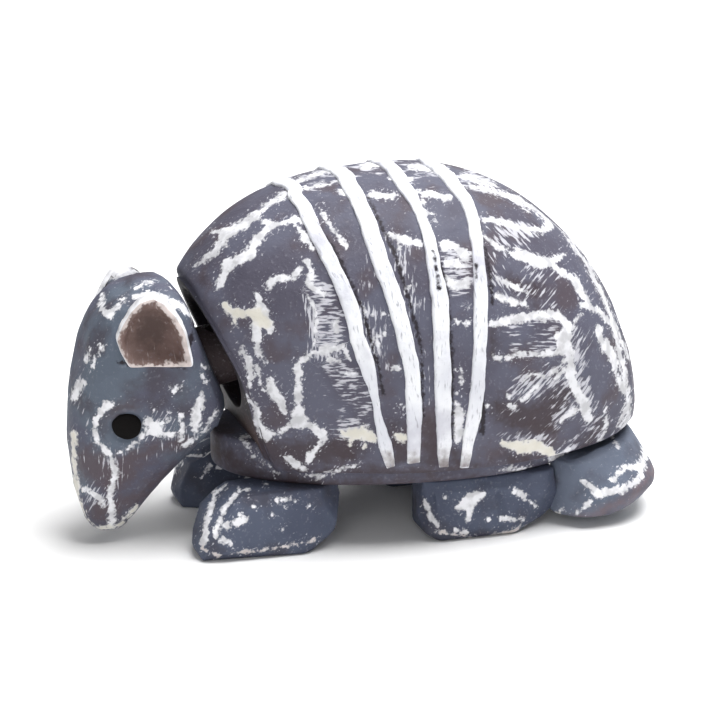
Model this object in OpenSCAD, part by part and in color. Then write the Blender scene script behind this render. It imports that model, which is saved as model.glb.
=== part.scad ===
// Nodding-head armadillo, carved in wood.
// Millimetres, +Z up. The figure faces -X, and its left side is -Y.
// The origin is on the ground, at the middle of the figure's box.

/* [Shell] */
// Height of the top of the back
back_z = 63.6; // [56:0.2:70]
// Height of the shell's lower rim
rim_z = 14; // [12:0.5:16]
// Place of the highest point along the figure
top_x = 7; // [4:0.5:10]
// Length of the dome from its top to the back rim
dome_rear = 43.4; // [40:0.2:46]
// Length from its top to where the front curve would meet the rim
dome_front = 46.6; // [44:0.2:50]
// Fullness of the back curve, 2 for an ellipse
rear_power = 2.1; // [1.9:0.05:2.4]
// Fullness of the front curve
front_power = 2.6; // [2.2:0.05:3]
// Middle of the rim's plan outline
plan_x = 13.4; // [12:0.2:15]
// Half length of the rim's plan outline
plan_half_l = 37; // [36:0.2:38]
// Half width of the shell at its widest
half_w = 26.5; // [24:0.5:28]
// How far the sides draw in towards the rim, as a part of the width
tuck = 0.1; // [0:0.01:0.2]
// Height of the widest line, as a part of the height of each rib
wide_at = 0.4; // [0.3:0.02:0.5]

/* [Ridges] */
// Place of each raised ridge along the crest
ridge_x = [-10, -1.6, 6.8, 14.9];
// How far each ridge leans forward at half height
ridge_bow = [2.2, 1.8, 1.4, 0];
// Width of a ridge
ridge_w = 3.2; // [2:0.1:4]
// Height of a ridge above the shell
ridge_h = 0.6; // [0.3:0.1:1.2]

/* [Body] */
// Underside of the belly
belly_z = 11.5; // [10:0.5:12]
// Top of the chest in front of the shell
chest_z = 18.5; // [16:0.5:19]
// Half length of the body behind its middle
body_rear = 31; // [30:0.5:32]
// Half length of the body before its middle
body_front = 40.4; // [38:0.2:41]
// Half width of the body
body_half_w = 21.2; // [20:0.2:22]

/* [Neck opening] */
// Radius of the opening for the neck
opening_r = 11; // [10:0.5:11.5]
// Height of the opening's axis
opening_z = 33.5; // [33:0.5:34]
// Place of the opening's blind end
opening_end = 0.4; // [-1:0.2:4]

/* [Head] */
// Widest half breadth of the head
head_half_w = 12; // [11:0.2:13]
// Place of the eyes along the figure
eye_x = -44.8; // [-45.6:0.2:-44.4]
// Height of the eyes
eye_z = 23.6; // [23:0.2:25]
// Radius of an eye
eye_r = 2.45; // [2:0.05:2.8]
// Breadth of an ear
ear_w = 12.6; // [10:0.2:13]
// Height of an ear
ear_h = 12.5; // [11:0.5:13]
// Thickness of an ear
ear_t = 3.4; // [3:0.1:4]

/* [Neck and hanging] */
// Radius of the neck
neck_r = 5.5; // [5:0.1:6]
// Rise of the neck towards its inner end
neck_tilt = 10.4; // [8:0.2:12]
// Place of the pin that the head hangs on
pin_x = -25.1; // [-25.5:0.1:-24.5]
// Height of that pin
pin_z = 42.2; // [42:0.1:42.4]
// Radius of the pin
pin_r = 0.6; // [0.5:0.05:0.7]
// Half length of the pin
pin_half_l = 11.8; // [10:0.2:12]
// Radius of the link's and the eye's wire
wire_r = 0.5; // [0.4:0.05:0.5]
// Radius of the bends of that wire, to its middle
loop_r = 1.5; // [1.4:0.05:1.6]
// Distance between the two ends of the link's bends
link_l = 3; // [2.6:0.1:3.2]
// Gap where the link turns on the pin and the eye on the link
play = 0.05; // [0.03:0.01:0.1]
// Radius of the counterweight
weight_r = 6.5; // [6:0.1:7]
// Length of the counterweight
weight_l = 8.9; // [7:0.1:11]
// Radius of its nail
nail_r = 0.7; // [0.5:0.05:0.9]

/* [Feet and tail] */
// Radius of a foot's dowel
peg_r = 1.5; // [1:0.1:1.8]
// Depth of a dowel in each of its two pieces
peg_depth = 5; // [4:0.5:6]
// Furthest point of the tail behind
tail_back = 53.2; // [52:0.2:54]
// Height of the tail above the ground
tail_z = 3.5; // [3:0.5:5]

/* [Hidden] */
$fn = 48;

// Every rib of the shell lies in a plane through this line across the figure.
fan_x = 12.4;
fan_z = -48;
// The shell stops at its mouth, a rib plane that leans forward over the neck.
mouth_x = -32.6;
mouth_angle = crest_angle(mouth_x);
over_cut = 10;             // how far a cutter stands out of the wood
lip_reach = 2.8;           // how far the mouth's lower edge comes forward of that plane
lip_top = 34;              // height where it starts to, and height where it is all the way
lip_low = 16;
lip_fade = 14;             // length over which the side goes back to its plain shape
tail_angle = 1.6;          // the last rib, close to the back rim
rib_step = 4.5;            // degrees between plain ribs
side_rows = 5;             // points of a rib below its widest line, each side
dome_rows = 26;            // spans of a rib above it
dome_round = 0.85;
dome_peak = 0.95;
ridge_edge = 0.35;         // slope at each side of a ridge, along the crest

// Neck frame: a point inside the head, and the turn that lays Z along the neck.
neck_x = -36;
neck_z = 30.4;
neck_l = 22.7;
neck_back = 2;             // the neck starts this far inside the head
pocket_r = 3.4;
eye_loop_z = pin_z + pin_r + play + wire_r - 2 * loop_r - link_l + 2 * wire_r + play - loop_r;
link_top_z = pin_z + pin_r + play + wire_r - loop_r;
eye_shank = 4.4;           // length of the neck eye below its loop
pocket_z = eye_loop_z - loop_r - wire_r - 0.2;
nail_in = 7;               // how far the nail goes in the neck
nail_head_r = 1.8;
nail_head_t = 0.8;

// Feet: how far back each one stands, its dowel's place, and the plan and side outlines.
front_right_shift = 3.4;   // this foot stands a little further back than the left one
front_peg = [-14, 11.5];
rear_peg = [15, 14.5];
peg_places = [[front_peg[0], -front_peg[1]], [front_peg[0] + front_right_shift, front_peg[1]],
    [rear_peg[0], -rear_peg[1]], [rear_peg[0], rear_peg[1]]];
front_side = [[-34.4, 2.2], [-33.4, 0], [-14, 0], [-9.6, 3.5], [-7.6, 9], [-8, belly_z],
    [-27, belly_z], [-32, 8.4]];
front_plan = [[-34.4, -15.6], [-33.4, -18], [-30, -19.2], [-14, -19.2], [-9, -17.4], [-7.6, -14],
    [-9, -9.4], [-16, -8], [-29, -8.4], [-33.6, -10.6], [-34.4, -13]];
rear_side = [[5.6, 5], [6.6, 1.6], [9, 0], [22.6, 0], [26.6, 2], [28.4, 5.2], [27.4, belly_z],
    [6.4, belly_z]];
rear_plan = [[5.6, -17], [7, -19.8], [10, -21], [22, -21], [26.6, -19.4], [28.4, -16],
    [26.6, -11.4], [22, -9.6], [10, -9.6], [6.4, -12]];
tail_peg_at = [47, 0];
tail_peg_r = 1.25;

// Head, as level slices: height, front, back, and breadth as a part of the widest.
head_slices = [
    [2.4, -49, -45, 0.28], [4, -50.6, -42.6, 0.4], [8, -51.9, -39.6, 0.52], [12.5, -52.6, -35.8, 0.62],
    [17.5, -53.1, -30.6, 0.74], [19.5, -53.15, -28.4, 0.78], [21, -53.2, -26.8, 0.82],
    [24, -53, -25.8, 0.87], [28, -52.7, -26.4, 0.93], [33, -51.7, -28.5, 0.99], [38, -50.2, -30.4, 1],
    [42, -47.9, -32, 0.94], [45, -45, -33.4, 0.78], [46.6, -42, -34.8, 0.52], [47.2, -40, -36.4, 0.2]];
head_sides = 36;
head_front_round = 0.85;
head_back_round = 0.5;     // the back of the head is nearly flat
eye_face_y = 10.4;         // an eye's outer face, from the middle plane
eye_depth = 3.6;

// Ears: where the base of each one stands, and how it is turned. The right ear sits a little
// lower and further back than the left one, and both are given here for the left side.
left_ear_at = [-39.6, -11.8, 35.4];
right_ear_at = [-37.8, -11.8, 33.4];
ear_turn = [4, -8, -14];
ear_taper = 0.25;          // how much narrower the outline is at its top
cup_r = 7.4;               // the ball that hollows the ear
cup_out = 9.6;             // its centre, before the back face
cup_up = 0.55;             // its centre, as a part of the ear's height
ear_clear = 4;             // the head is cut this far before the ear
tenon_r = 1.3;
tenon_l = 3;
tenon_up = 4;

function curve(t, power) = pow(max(t, 0), 2 / power);
// Crest of the shell: angle 0 is the back rim, 90 the top, and it ends at the mouth.
function crest(a) = let (front = a > 90, p = front ? front_power : rear_power)
    [top_x + (front ? -dome_front : dome_rear) * curve(abs(cos(a)), p),
     rim_z + (back_z - rim_z) * curve(sin(a), p)];
function crest_angle(x) = x < top_x
    ? 180 - acos(pow((top_x - x) / dome_front, front_power / 2))
    : acos(pow((x - top_x) / dome_rear, rear_power / 2));

// A rib's points run up the left side and down the right one. A place is [side, part of the
// way]: -1 and 1 are the walls below the widest line, and 0 is the dome above it.
rib_places = concat(
    [for (i = [0 : side_rows - 1]) [-1, i / side_rows]],
    [for (i = [0 : dome_rows]) [0, i / dome_rows]],
    [for (i = [side_rows - 1 : -1 : 0]) [1, i / side_rows]]);

function rib_point(a, place, lift) = let (
    p = crest(a),
    slope = (rim_z - fan_z) / (p[1] - fan_z),
    foot = [fan_x + (p[0] - fan_x) * slope, rim_z],
    up = p - foot,
    h = norm(up),
    dir = up / max(h, 0.001),
    w = lift + half_w * sqrt(max(0, 1 - pow((foot[0] - plan_x) / plan_half_l, 2))),
    side = place[0],
    turn = 90 - 180 * place[1],
    y = side == 0
        ? -w * sign(turn) * pow(abs(sin(turn)), dome_round)
        : side * w * (1 - tuck * pow(1 - place[1], 2)),
    along = side == 0
        ? wide_at * h + (h * (1 - wide_at) + lift) * pow(max(cos(turn), 0), dome_peak)
        : wide_at * h * place[1])
    [foot[0] + dir[0] * along, y, foot[1] + dir[1] * along];

// Ridges lean forward at half height, and the plain ribs between them follow.
lean_table = concat([[mouth_x, 0]], [for (i = [0 : 3]) [ridge_x[i], ridge_bow[i]]], [[40, 0]]);
function leaned(a, place) = let (
    x = crest(a)[0],
    down = place[0] == 0 ? abs(2 * place[1] - 1) / 1.6 : (1 + 0.6 * (1 - place[1])) / 1.6,
    bow = lookup(x, lean_table) * sin(180 * down))
    abs(bow) < 0.001 ? a : crest_angle(x - bow);

plain_ribs = [for (a = [tail_angle : rib_step : mouth_angle - 1])
    if (min([for (x = ridge_x) abs(crest(a)[0] - x)]) > ridge_w * 0.75) [a, 0]];
ridge_ribs = [for (x = ridge_x) each
    [[crest_angle(x + ridge_w / 2 + ridge_edge), 0], [crest_angle(x + ridge_w / 2), ridge_h],
     [crest_angle(x - ridge_w / 2), ridge_h], [crest_angle(x - ridge_w / 2 - ridge_edge), 0]]];
function sorted(v) = len(v) < 2 ? v : let (m = v[floor(len(v) / 2)][0])
    concat(sorted([for (r = v) if (r[0] < m) r]), [for (r = v) if (r[0] == m) r],
        sorted([for (r = v) if (r[0] > m) r]));
ribs = sorted(concat(plain_ribs, ridge_ribs, [[mouth_angle, 0]]));

function part_of(v, from, to) = let (t = min(1, max(0, (v - from) / (to - from)))) t * t * (3 - 2 * t);
function mouth_plane(z) = fan_x + (mouth_x - fan_x) * (z - fan_z) / (crest(mouth_angle)[1] - fan_z);
// Brings the lower front corner of the shell forward, round the sides of the chest.
function lipped(p) = [p[0] - lip_reach * part_of(p[2], lip_top, lip_low)
    * part_of(p[0] - mouth_plane(p[2]), lip_fade, 0), p[1], p[2]];

// A closed loft through rings that all have the same number of points. A last ring that isn't
// flat is closed with strips between its left and right points.
module loft(rings, strips = false) {
    n = len(rings[0]);
    last = len(rings) - 1;
    points = [for (r = rings) each r];
    sides = [for (i = [0 : last - 1], j = [0 : n - 1]) let (k = (j + 1) % n)
        each [[i * n + j, (i + 1) * n + k, i * n + k], [i * n + j, (i + 1) * n + j, (i + 1) * n + k]]];
    half = (n - 1) / 2;
    end_cap = strips
        ? concat([for (j = [0 : half - 2]) [n - 1 - j, n - 2 - j, j + 1, j]], [[half + 1, half, half - 1]])
        : [[for (j = [n - 1 : -1 : 0]) j]];
    caps = concat([[for (j = [0 : n - 1]) j]], [for (f = end_cap) [for (k = f) last * n + k]]);
    polyhedron(points, concat(sides, caps), convexity = 6);
}

module dome() {
    loft([for (r = ribs) [for (place = rib_places)
        lipped(rib_point(leaned(r[0], place), place, r[1]))]], strips = true);
}

function half_ellipse(a, b, from, to) = [for (t = [from : 7.5 : to]) [plan_x + a * cos(t), b * sin(t)]];
body_plan = concat(half_ellipse(body_rear, body_half_w, -90, 90),
    half_ellipse(body_front, body_half_w, 97.5, 262.5));

module along_neck(s) {
    translate([neck_x, 0, neck_z]) rotate([0, 90 - neck_tilt, 0]) translate([0, 0, s]) children();
}

module pin_bore() {
    translate([pin_x, 0, pin_z]) rotate([90, 0, 0]) cylinder(r = pin_r, h = 2 * pin_half_l, center = true);
}

module pegs(grow) {
    for (p = peg_places)
        translate([p[0], p[1], belly_z - peg_depth])
            cylinder(r = peg_r, h = 2 * peg_depth + grow);
}

module tail_dowel(grow) {
    translate([tail_peg_at[0], tail_peg_at[1], rim_z - peg_depth])
        cylinder(r = tail_peg_r, h = 2 * peg_depth + grow);
}

module shell() {
    color("slategray") difference() {
        union() {
            dome();
            translate([0, 0, belly_z]) linear_extrude(chest_z - belly_z) polygon(body_plan);
        }
        translate([mouth_x - over_cut, 0, opening_z]) rotate([0, 90, 0])
            cylinder(r = opening_r, h = opening_end - mouth_x + over_cut);
        pin_bore();
        pegs(0.5);
        tail_dowel(0.5);
    }
}

// A foot is the solid that fits both its plan and its side outline.
module foot(plan, side_outline, peg, mirrored, shift = 0) {
    translate([shift, 0, 0]) mirror([0, mirrored ? 1 : 0, 0]) difference() {
        intersection() {
            linear_extrude(belly_z) polygon(plan);
            rotate([90, 0, 0]) linear_extrude(40) polygon(side_outline);
        }
        translate([peg[0], -peg[1], belly_z - peg_depth]) cylinder(r = peg_r, h = peg_depth + 1);
    }
}

module front_left_foot() { color("dimgray") foot(front_plan, front_side, front_peg, false); }
module front_right_foot() { color("dimgray") foot(front_plan, front_side, front_peg, true, front_right_shift); }
module rear_left_foot() { color("dimgray") foot(rear_plan, rear_side, rear_peg, false); }
module rear_right_foot() { color("dimgray") foot(rear_plan, rear_side, rear_peg, true); }

module foot_pegs() { color("burlywood") pegs(0); }

// The tail follows the body's outline, from its root behind to its tip at the left.
tail_outer = [tail_back - plan_x, 25.4];
tail_power = 3;
tail_inner = [body_rear + 0.2, 18.5];
tail_steps = [16, 8, 0, -8, -16, -24, -32, -40, -48, -55];
tail_plan = concat(
    [for (t = tail_steps) [plan_x + tail_outer[0] * curve(cos(t), tail_power),
        tail_outer[1] * sign(t) * curve(abs(sin(t)), tail_power)]],
    [[plan_x + 17, -22.6], [plan_x + 16, -19.2]],
    [for (i = [len(tail_steps) - 2 : -1 : 0])
        let (t = tail_steps[i]) [plan_x + tail_inner[0] * cos(t), tail_inner[1] * sin(t)]]);
tail_side = [[26, 4.4], [32, 2.2], [40, tail_z], [56, tail_z + 1.5], [56, rim_z], [46, rim_z],
    [40, belly_z], [26, belly_z - 2]];

module tail() {
    color("dimgray") difference() {
        intersection() {
            linear_extrude(rim_z) polygon(tail_plan);
            translate([0, 30, 0]) rotate([90, 0, 0]) linear_extrude(60) polygon(tail_side);
        }
        tail_dowel(0.5);
    }
}

module tail_peg() { color("burlywood") tail_dowel(0); }

module pivot_pin() { color("silver") pin_bore(); }

module half_ring() {
    rotate_extrude(angle = 180) translate([loop_r, 0]) circle(r = wire_r, $fn = 24);
}

// The link lies in the figure's middle plane: two bends and two straight wires.
module hanger_link() {
    color("silver") translate([pin_x, 0, link_top_z]) rotate([90, 0, 0]) {
        half_ring();
        translate([0, -link_l, 0]) rotate([0, 0, 180]) half_ring();
        for (side = [-1, 1])
            translate([side * loop_r, -link_l, 0]) rotate([-90, 0, 0])
                cylinder(r = wire_r, h = link_l, $fn = 24);
    }
}

// The eye stands across the figure, with the link's lower bend through it.
module neck_eye() {
    color("silver") translate([pin_x, 0, eye_loop_z]) {
        rotate([0, 90, 0]) rotate_extrude() translate([loop_r, 0]) circle(r = wire_r, $fn = 24);
        translate([0, 0, -loop_r - eye_shank]) cylinder(r = wire_r, h = eye_shank, $fn = 24);
    }
}

function slice_ring(s) = [for (j = [0 : head_sides - 1]) let (
    t = j * 360 / head_sides,
    round = cos(t) > 0 ? head_back_round : head_front_round,
    x = (s[1] + s[2]) / 2 + (s[2] - s[1]) / 2 * sign(cos(t)) * pow(abs(cos(t)), round),
    y = head_half_w * s[3] * sign(sin(t)) * pow(abs(sin(t)), round))
    [x, y, s[0]]];

module eye_plug(side) {
    translate([eye_x, side * eye_face_y, eye_z]) rotate([90 * side, 0, 0])
        cylinder(r = eye_r, h = eye_depth);
}

// Ear outline, drawn with its base on the X axis.
ear_outline = [for (t = [0 : 12 : 348])
    [ear_w / 2 * cos(t) * (1 - ear_taper * max(sin(t), 0)), ear_h / 2 * (1 + sin(t))]];

module place_ear(side) {
    mirror([0, side > 0 ? 1 : 0, 0])
        translate(side > 0 ? right_ear_at : left_ear_at)
            rotate(ear_turn) rotate([90, 0, 0]) children();
}

module ear_tenon() { translate([0, tenon_up, -tenon_l]) cylinder(r = tenon_r, h = tenon_l + 1, $fn = 24); }

module ear(side) {
    place_ear(side) {
        difference() {
            linear_extrude(ear_t) polygon(ear_outline);
            translate([0, cup_up * ear_h, cup_out]) sphere(r = cup_r);
        }
        ear_tenon();
    }
}

module head() {
    color("slategray") difference() {
        union() {
            loft([for (s = head_slices) slice_ring(s)]);
            along_neck(-neck_back) cylinder(r = neck_r, h = neck_l + neck_back);
        }
        translate([pin_x, 0, pocket_z]) cylinder(r = pocket_r, h = 12);
        translate([pin_x, 0, eye_loop_z - loop_r - eye_shank]) cylinder(r = wire_r, h = eye_shank, $fn = 24);
        along_neck(neck_l - nail_in) cylinder(r = nail_r, h = nail_in + 1, $fn = 24);
        for (side = [-1, 1]) {
            eye_plug(side);
            place_ear(side) {
                linear_extrude(ear_t + ear_clear) polygon(ear_outline);
                ear_tenon();
            }
        }
    }
}

module counterweight() {
    color("dimgray") along_neck(neck_l) difference() {
        cylinder(r = weight_r, h = weight_l);
        translate([0, 0, -1]) cylinder(r = nail_r, h = weight_l + 2, $fn = 24);
    }
}

module counterweight_nail() {
    color("silver") along_neck(neck_l - nail_in) {
        cylinder(r = nail_r, h = nail_in + weight_l, $fn = 24);
        translate([0, 0, nail_in + weight_l]) cylinder(r = nail_head_r, h = nail_head_t, $fn = 24);
    }
}

module left_ear() { color("rosybrown") ear(-1); }
module right_ear() { color("rosybrown") ear(1); }
module left_eye() { color("black") eye_plug(-1); }
module right_eye() { color("black") eye_plug(1); }

shell();
front_left_foot();
front_right_foot();
rear_left_foot();
rear_right_foot();
foot_pegs();
tail();
tail_peg();
pivot_pin();
hanger_link();
head();
neck_eye();
counterweight();
counterweight_nail();
left_ear();
right_ear();
left_eye();
right_eye();
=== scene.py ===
"""Nodding-head armadillo: a folk figure carved in soft wood, painted grey and overbrushed in white."""
import math
import bmesh
import bpy
import numpy as np
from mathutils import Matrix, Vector
from mathutils.bvhtree import BVHTree


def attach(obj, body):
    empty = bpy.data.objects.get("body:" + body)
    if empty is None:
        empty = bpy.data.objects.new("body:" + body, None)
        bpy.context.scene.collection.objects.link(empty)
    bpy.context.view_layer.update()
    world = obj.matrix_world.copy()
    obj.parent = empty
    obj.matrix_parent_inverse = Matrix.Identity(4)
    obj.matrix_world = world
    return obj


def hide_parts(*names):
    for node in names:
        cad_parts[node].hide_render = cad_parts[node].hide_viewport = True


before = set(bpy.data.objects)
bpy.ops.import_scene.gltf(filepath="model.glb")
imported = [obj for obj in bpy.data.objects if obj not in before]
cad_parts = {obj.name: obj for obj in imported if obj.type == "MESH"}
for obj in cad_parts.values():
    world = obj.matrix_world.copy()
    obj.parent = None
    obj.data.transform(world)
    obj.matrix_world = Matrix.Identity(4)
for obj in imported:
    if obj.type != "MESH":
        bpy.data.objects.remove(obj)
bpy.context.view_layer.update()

scene = bpy.context.scene


# ---- Camera, floor and lights ----
# A figure of a hand's length on a plain pale table, seen from its left side and a little from
# the front, under one large soft light above and a weaker one at the side.
sight_at = np.array([0.4, 0.0, 28.5])                 # mm
sight_from, sight_above, sight_far = math.radians(-17), math.radians(18), 700.0
sight_back = np.array([math.sin(sight_from) * math.cos(sight_above),
                       -math.cos(sight_from) * math.cos(sight_above), math.sin(sight_above)])
sight_right = np.array([math.cos(sight_from), math.sin(sight_from), 0.0])
sight_up = np.cross(sight_back, sight_right)
camera = bpy.data.objects.new("camera", bpy.data.cameras.new("camera"))
scene.collection.objects.link(camera)
camera.location = Vector((sight_at + sight_far * sight_back) / 1000)
camera.rotation_mode = "QUATERNION"
camera.rotation_quaternion = Vector(-sight_back).to_track_quat("-Z", "Y")
camera.data.lens, camera.data.sensor_width = 196, 36
camera.data.clip_start, camera.data.clip_end = 0.01, 20
scene.camera = camera

floor_mesh = bpy.data.meshes.new("floor")
floor_mesh.from_pydata([(-3, -3, 0), (3, -3, 0), (3, 3, 0), (-3, 3, 0)], [], [(0, 1, 2, 3)])
floor = bpy.data.objects.new("floor", floor_mesh)
scene.collection.objects.link(floor)
floor_paint = bpy.data.materials.new("floor_paint")
floor_paint.use_nodes = True
floor_paint.node_tree.nodes["Principled BSDF"].inputs["Base Color"].default_value = (0.9, 0.9, 0.9, 1)
floor_paint.node_tree.nodes["Principled BSDF"].inputs["Roughness"].default_value = 0.9
floor_mesh.materials.append(floor_paint)

for name, place, size, power in (("top_light", (0.18, -0.08, 0.8), 0.6, 11.0),
                                 ("side_light", (-0.35, -0.8, 0.4), 0.6, 1.7),
                                 ("back_light", (0.45, 0.6, 0.5), 0.5, 1.6)):
    light = bpy.data.lights.new(name, "AREA")
    light.shape, light.size, light.energy = "DISK", size, power
    lamp = bpy.data.objects.new(name, light)
    scene.collection.objects.link(lamp)
    lamp.location = place
    lamp.rotation_mode = "QUATERNION"
    lamp.rotation_quaternion = (Vector((0, 0, 0.03)) - lamp.location).to_track_quat("-Z", "Y")
scene.world = bpy.data.worlds.new("room")
scene.world.use_nodes = True
scene.world.node_tree.nodes["Background"].inputs["Color"].default_value = (1, 1, 1, 1)
scene.world.node_tree.nodes["Background"].inputs["Strength"].default_value = 0.31
scene.view_settings.view_transform = "Standard"


# ---- Shell ----
# One carved block of soft wood: a domed shield cut with a knife, open in front for the neck.
# Every rib lies in a plane through one line under the figure, so the mouth leans forward.
top_x, dome_rear, dome_front = 7.0, 43.4, 46.6
back_z, rim_z = 63.6, 14.0
plan_x, plan_half_l, half_w = 13.4, 37.0, 26.5
fan_x, fan_z = 12.4, -48.0
mouth_angle, mouth_at = 144.0, (-32.6, 47.0)          # degrees from the back rim, and a point of it
front_power, rear_power, wall_lean, over_round, up_round = 2.6, 2.1, 0.1, 0.85, 0.95
opening_r, opening_z, opening_end = 11.0, 33.5, 0.4
wall_share, rim_r, mouth_r = 0.4, 1.6, 1.3            # upright part of a rib, and knife roundings
lip_reach, lip_top, lip_low, lip_fade = 2.8, 34, 16, 14
rib_count, wall_steps, dome_steps, under_steps = 280, 44, 203, 9
cut_count, cut_depths, cut_reach = 420, (0.08, 0.3), 9


def crest(angle):
    """The highest line of the shell: 0 is the back rim, 90 the top."""
    front = angle > 90
    power = np.where(front, front_power, rear_power)
    cosine, sine = np.abs(np.cos(np.radians(angle))), np.maximum(np.sin(np.radians(angle)), 0)
    return (top_x + np.where(front, -dome_front, dome_rear) * cosine ** (2 / power),
            rim_z + (back_z - rim_z) * sine ** (2 / power))


def rib_points(angle, side, way):
    """Points of one rib. side is -1 or 1 on the walls and 0 on the dome, way is 0 to 1 along it."""
    x, z = crest(angle)
    slope = (rim_z - fan_z) / (z - fan_z)
    foot_x = fan_x + (x - fan_x) * slope
    high = np.hypot(x - foot_x, z - rim_z)
    w = half_w * np.sqrt(np.maximum(0, 1 - ((foot_x - plan_x) / plan_half_l) ** 2))
    turn = np.radians(90 - 180 * way)
    on_dome = side == 0
    y = np.where(on_dome, -w * np.sign(turn) * np.abs(np.sin(turn)) ** over_round,
                 side * w * (1 - wall_lean * (1 - way) ** 2))
    along = np.where(on_dome, wall_share + (1 - wall_share) * np.maximum(np.cos(turn), 0) ** up_round,
                     wall_share * way) * high
    near_rim = np.clip(rim_r - along, 0, rim_r)
    y = np.where(on_dome, y, y - side * (rim_r - np.sqrt(np.maximum(rim_r ** 2 - near_rim ** 2, 0))))
    return np.stack([foot_x + (x - foot_x) / high * along, y, rim_z + (z - rim_z) / high * along], -1)


def mouth_plane(z):
    return fan_x - (fan_x - mouth_at[0]) / (mouth_at[1] - fan_z) * (z - fan_z)


def soft_step(value, low, high):
    part = np.clip((value - low) / (high - low), 0, 1)
    return part * part * (3 - 2 * part)


def lipped(points):
    """The lower front corner comes forward, round the sides of the chest."""
    x, z = points[..., 0], points[..., 2]
    reach = lip_reach * soft_step(z, lip_top, lip_low) * soft_step(x - mouth_plane(z), lip_fade, 0)
    return points - reach[..., None] * [1, 0, 0]


def evenly(angles, count):
    """Rib angles with even steps along the crest."""
    x, z = crest(angles)
    run = np.concatenate([[0], np.cumsum(np.hypot(np.diff(x), np.diff(z)))])
    return np.interp(np.linspace(0, run[-1], count), run, angles)


def closed_loft(rings, name, inner_from=None):
    """A closed mesh through rings of equal length, in mm, with a point at each end. The rings
    from inner_from on are the inside, which has the piece's second finish."""
    count, around = len(rings), len(rings[0])
    grid = np.arange(count * around).reshape(count, around)
    a, b = grid[:-1], grid[1:]
    quads = np.stack([a, np.roll(a, -1, 1), np.roll(b, -1, 1), b], -1).reshape(-1, 4)
    first, last = count * around, count * around + 1
    points = np.concatenate([np.concatenate(rings), [np.mean(rings[0], 0)], [np.mean(rings[-1], 0)]])
    ends = ([(first, int(q), int(p)) for p, q in zip(grid[0], np.roll(grid[0], -1))]
            + [(last, int(p), int(q)) for p, q in zip(grid[-1], np.roll(grid[-1], -1))])
    mesh = bpy.data.meshes.new(name)
    mesh.from_pydata((points / 1000).tolist(), [], quads.tolist() + ends)
    if inner_from is not None:
        inner = [int(k >= inner_from * around) for k in range(len(quads))] + [0] * around + [1] * around
        mesh.polygons.foreach_set("material_index", inner)
    tidy = bmesh.new()
    tidy.from_mesh(mesh)
    bmesh.ops.remove_doubles(tidy, verts=tidy.verts, dist=1e-7)
    bmesh.ops.recalc_face_normals(tidy, faces=tidy.faces)
    tidy.to_mesh(mesh)
    tidy.free()
    mesh.polygons.foreach_set("use_smooth", [True] * len(mesh.polygons))
    piece = bpy.data.objects.new(name, mesh)
    scene.collection.objects.link(piece)
    return piece


def knife_cuts(grid, out, count, depths):
    """Flattens the places where a knife stroke took the wood below the smooth surface, in mm."""
    points, normals = grid.reshape(-1, 3), out.reshape(-1, 3)
    picked = hand.choice(len(points), count, replace=False)
    deepest = np.zeros(len(points))
    for centre, normal, depth in zip(points[picked], normals[picked], hand.uniform(*depths, count)):
        near = np.abs(points - centre).max(1) < cut_reach
        agree = normals[near] @ normal
        over = (points[near] - centre) @ normal + depth
        cut = np.where((agree > 0.5) & (over > 0), over / np.maximum(agree, 0.5), 0)
        deepest[near] = np.maximum(deepest[near], np.minimum(cut, depth))
    return (points - normals * deepest[:, None]).reshape(grid.shape)


wall = np.linspace(0, 1, wall_steps + 1)[:-1]
side_of = np.repeat([-1.0, 0.0, 1.0], [wall_steps, dome_steps, wall_steps])
way_of = np.concatenate([wall, np.linspace(0, 1, dome_steps), np.linspace(1, 0, wall_steps + 1)[1:]])
rib_angles = evenly(np.linspace(0.3, mouth_angle, 4000), rib_count)
dome = lipped(np.array([rib_points(a, side_of, way_of) for a in rib_angles]))
edge_1, edge_2 = np.gradient(dome, axis=0), np.gradient(dome, axis=1)
out = np.cross(edge_2, edge_1)
out /= np.maximum(np.linalg.norm(out, axis=-1, keepdims=True), 1e-9)
hand = np.random.default_rng(7)
dome = knife_cuts(dome, out, cut_count, cut_depths)
crown = dome[:, 140]                                  # a row of points near the middle of the back
to_mouth = np.linalg.norm(crown - crown[-1], axis=-1)
near_mouth = np.clip(mouth_r - to_mouth, 0, mouth_r)
dome -= out * (mouth_r - np.sqrt(mouth_r ** 2 - near_mouth ** 2))[:, None, None]

across = np.linspace(0.97, -0.97, under_steps)[:, None] * [0, 1, 0]
under = dome[:, -1:, :] * (across + [1, 0, 1])
rings = list(np.concatenate([dome, under], axis=1))
lip = rings[-1]
circle_turn = np.arctan2(lip[:, 1], lip[:, 2] - opening_z)
hole_y, hole_z = opening_r * np.sin(circle_turn), opening_z + opening_r * np.cos(circle_turn)
for part in (0.06, 0.14, 0.25, 0.4, 0.55, 0.7, 0.85, 0.95, 1.0):
    y, z = lip[:, 1] + (hole_y - lip[:, 1]) * part, lip[:, 2] + (hole_z - lip[:, 2]) * part
    rings.append(lipped(np.stack([mouth_plane(z), y, z], -1)))
for part in (0.03, 0.1, 0.25, 0.5, 0.75, 1.0):
    deep = mouth_plane(hole_z) + (opening_end - mouth_plane(hole_z)) * part
    rings.append(lipped(np.stack([deep, hole_y, hole_z], -1)))
for part in (0.8, 0.4):
    rings.append(np.stack([np.full_like(hole_y, opening_end), hole_y * part,
                           opening_z + (hole_z - opening_z) * part], -1))
shell = closed_loft(rings, "carved_shell", inner_from=len(dome))
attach(shell, "body")
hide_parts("shell")


# ---- Painting of the shell ----
# Grey acrylic over the bare brown wood, then plate outlines overbrushed in white with a nearly
# dry brush. A stroke is a row of (right, up, breadth) in mm, as the maker sees the side.
sight_eye = sight_at + sight_far * sight_back
untouched, grazing = 5.0, 0.22                        # mm from any stroke, and where the brush slips off
mirrored = np.array([1, -1, 1])


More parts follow.
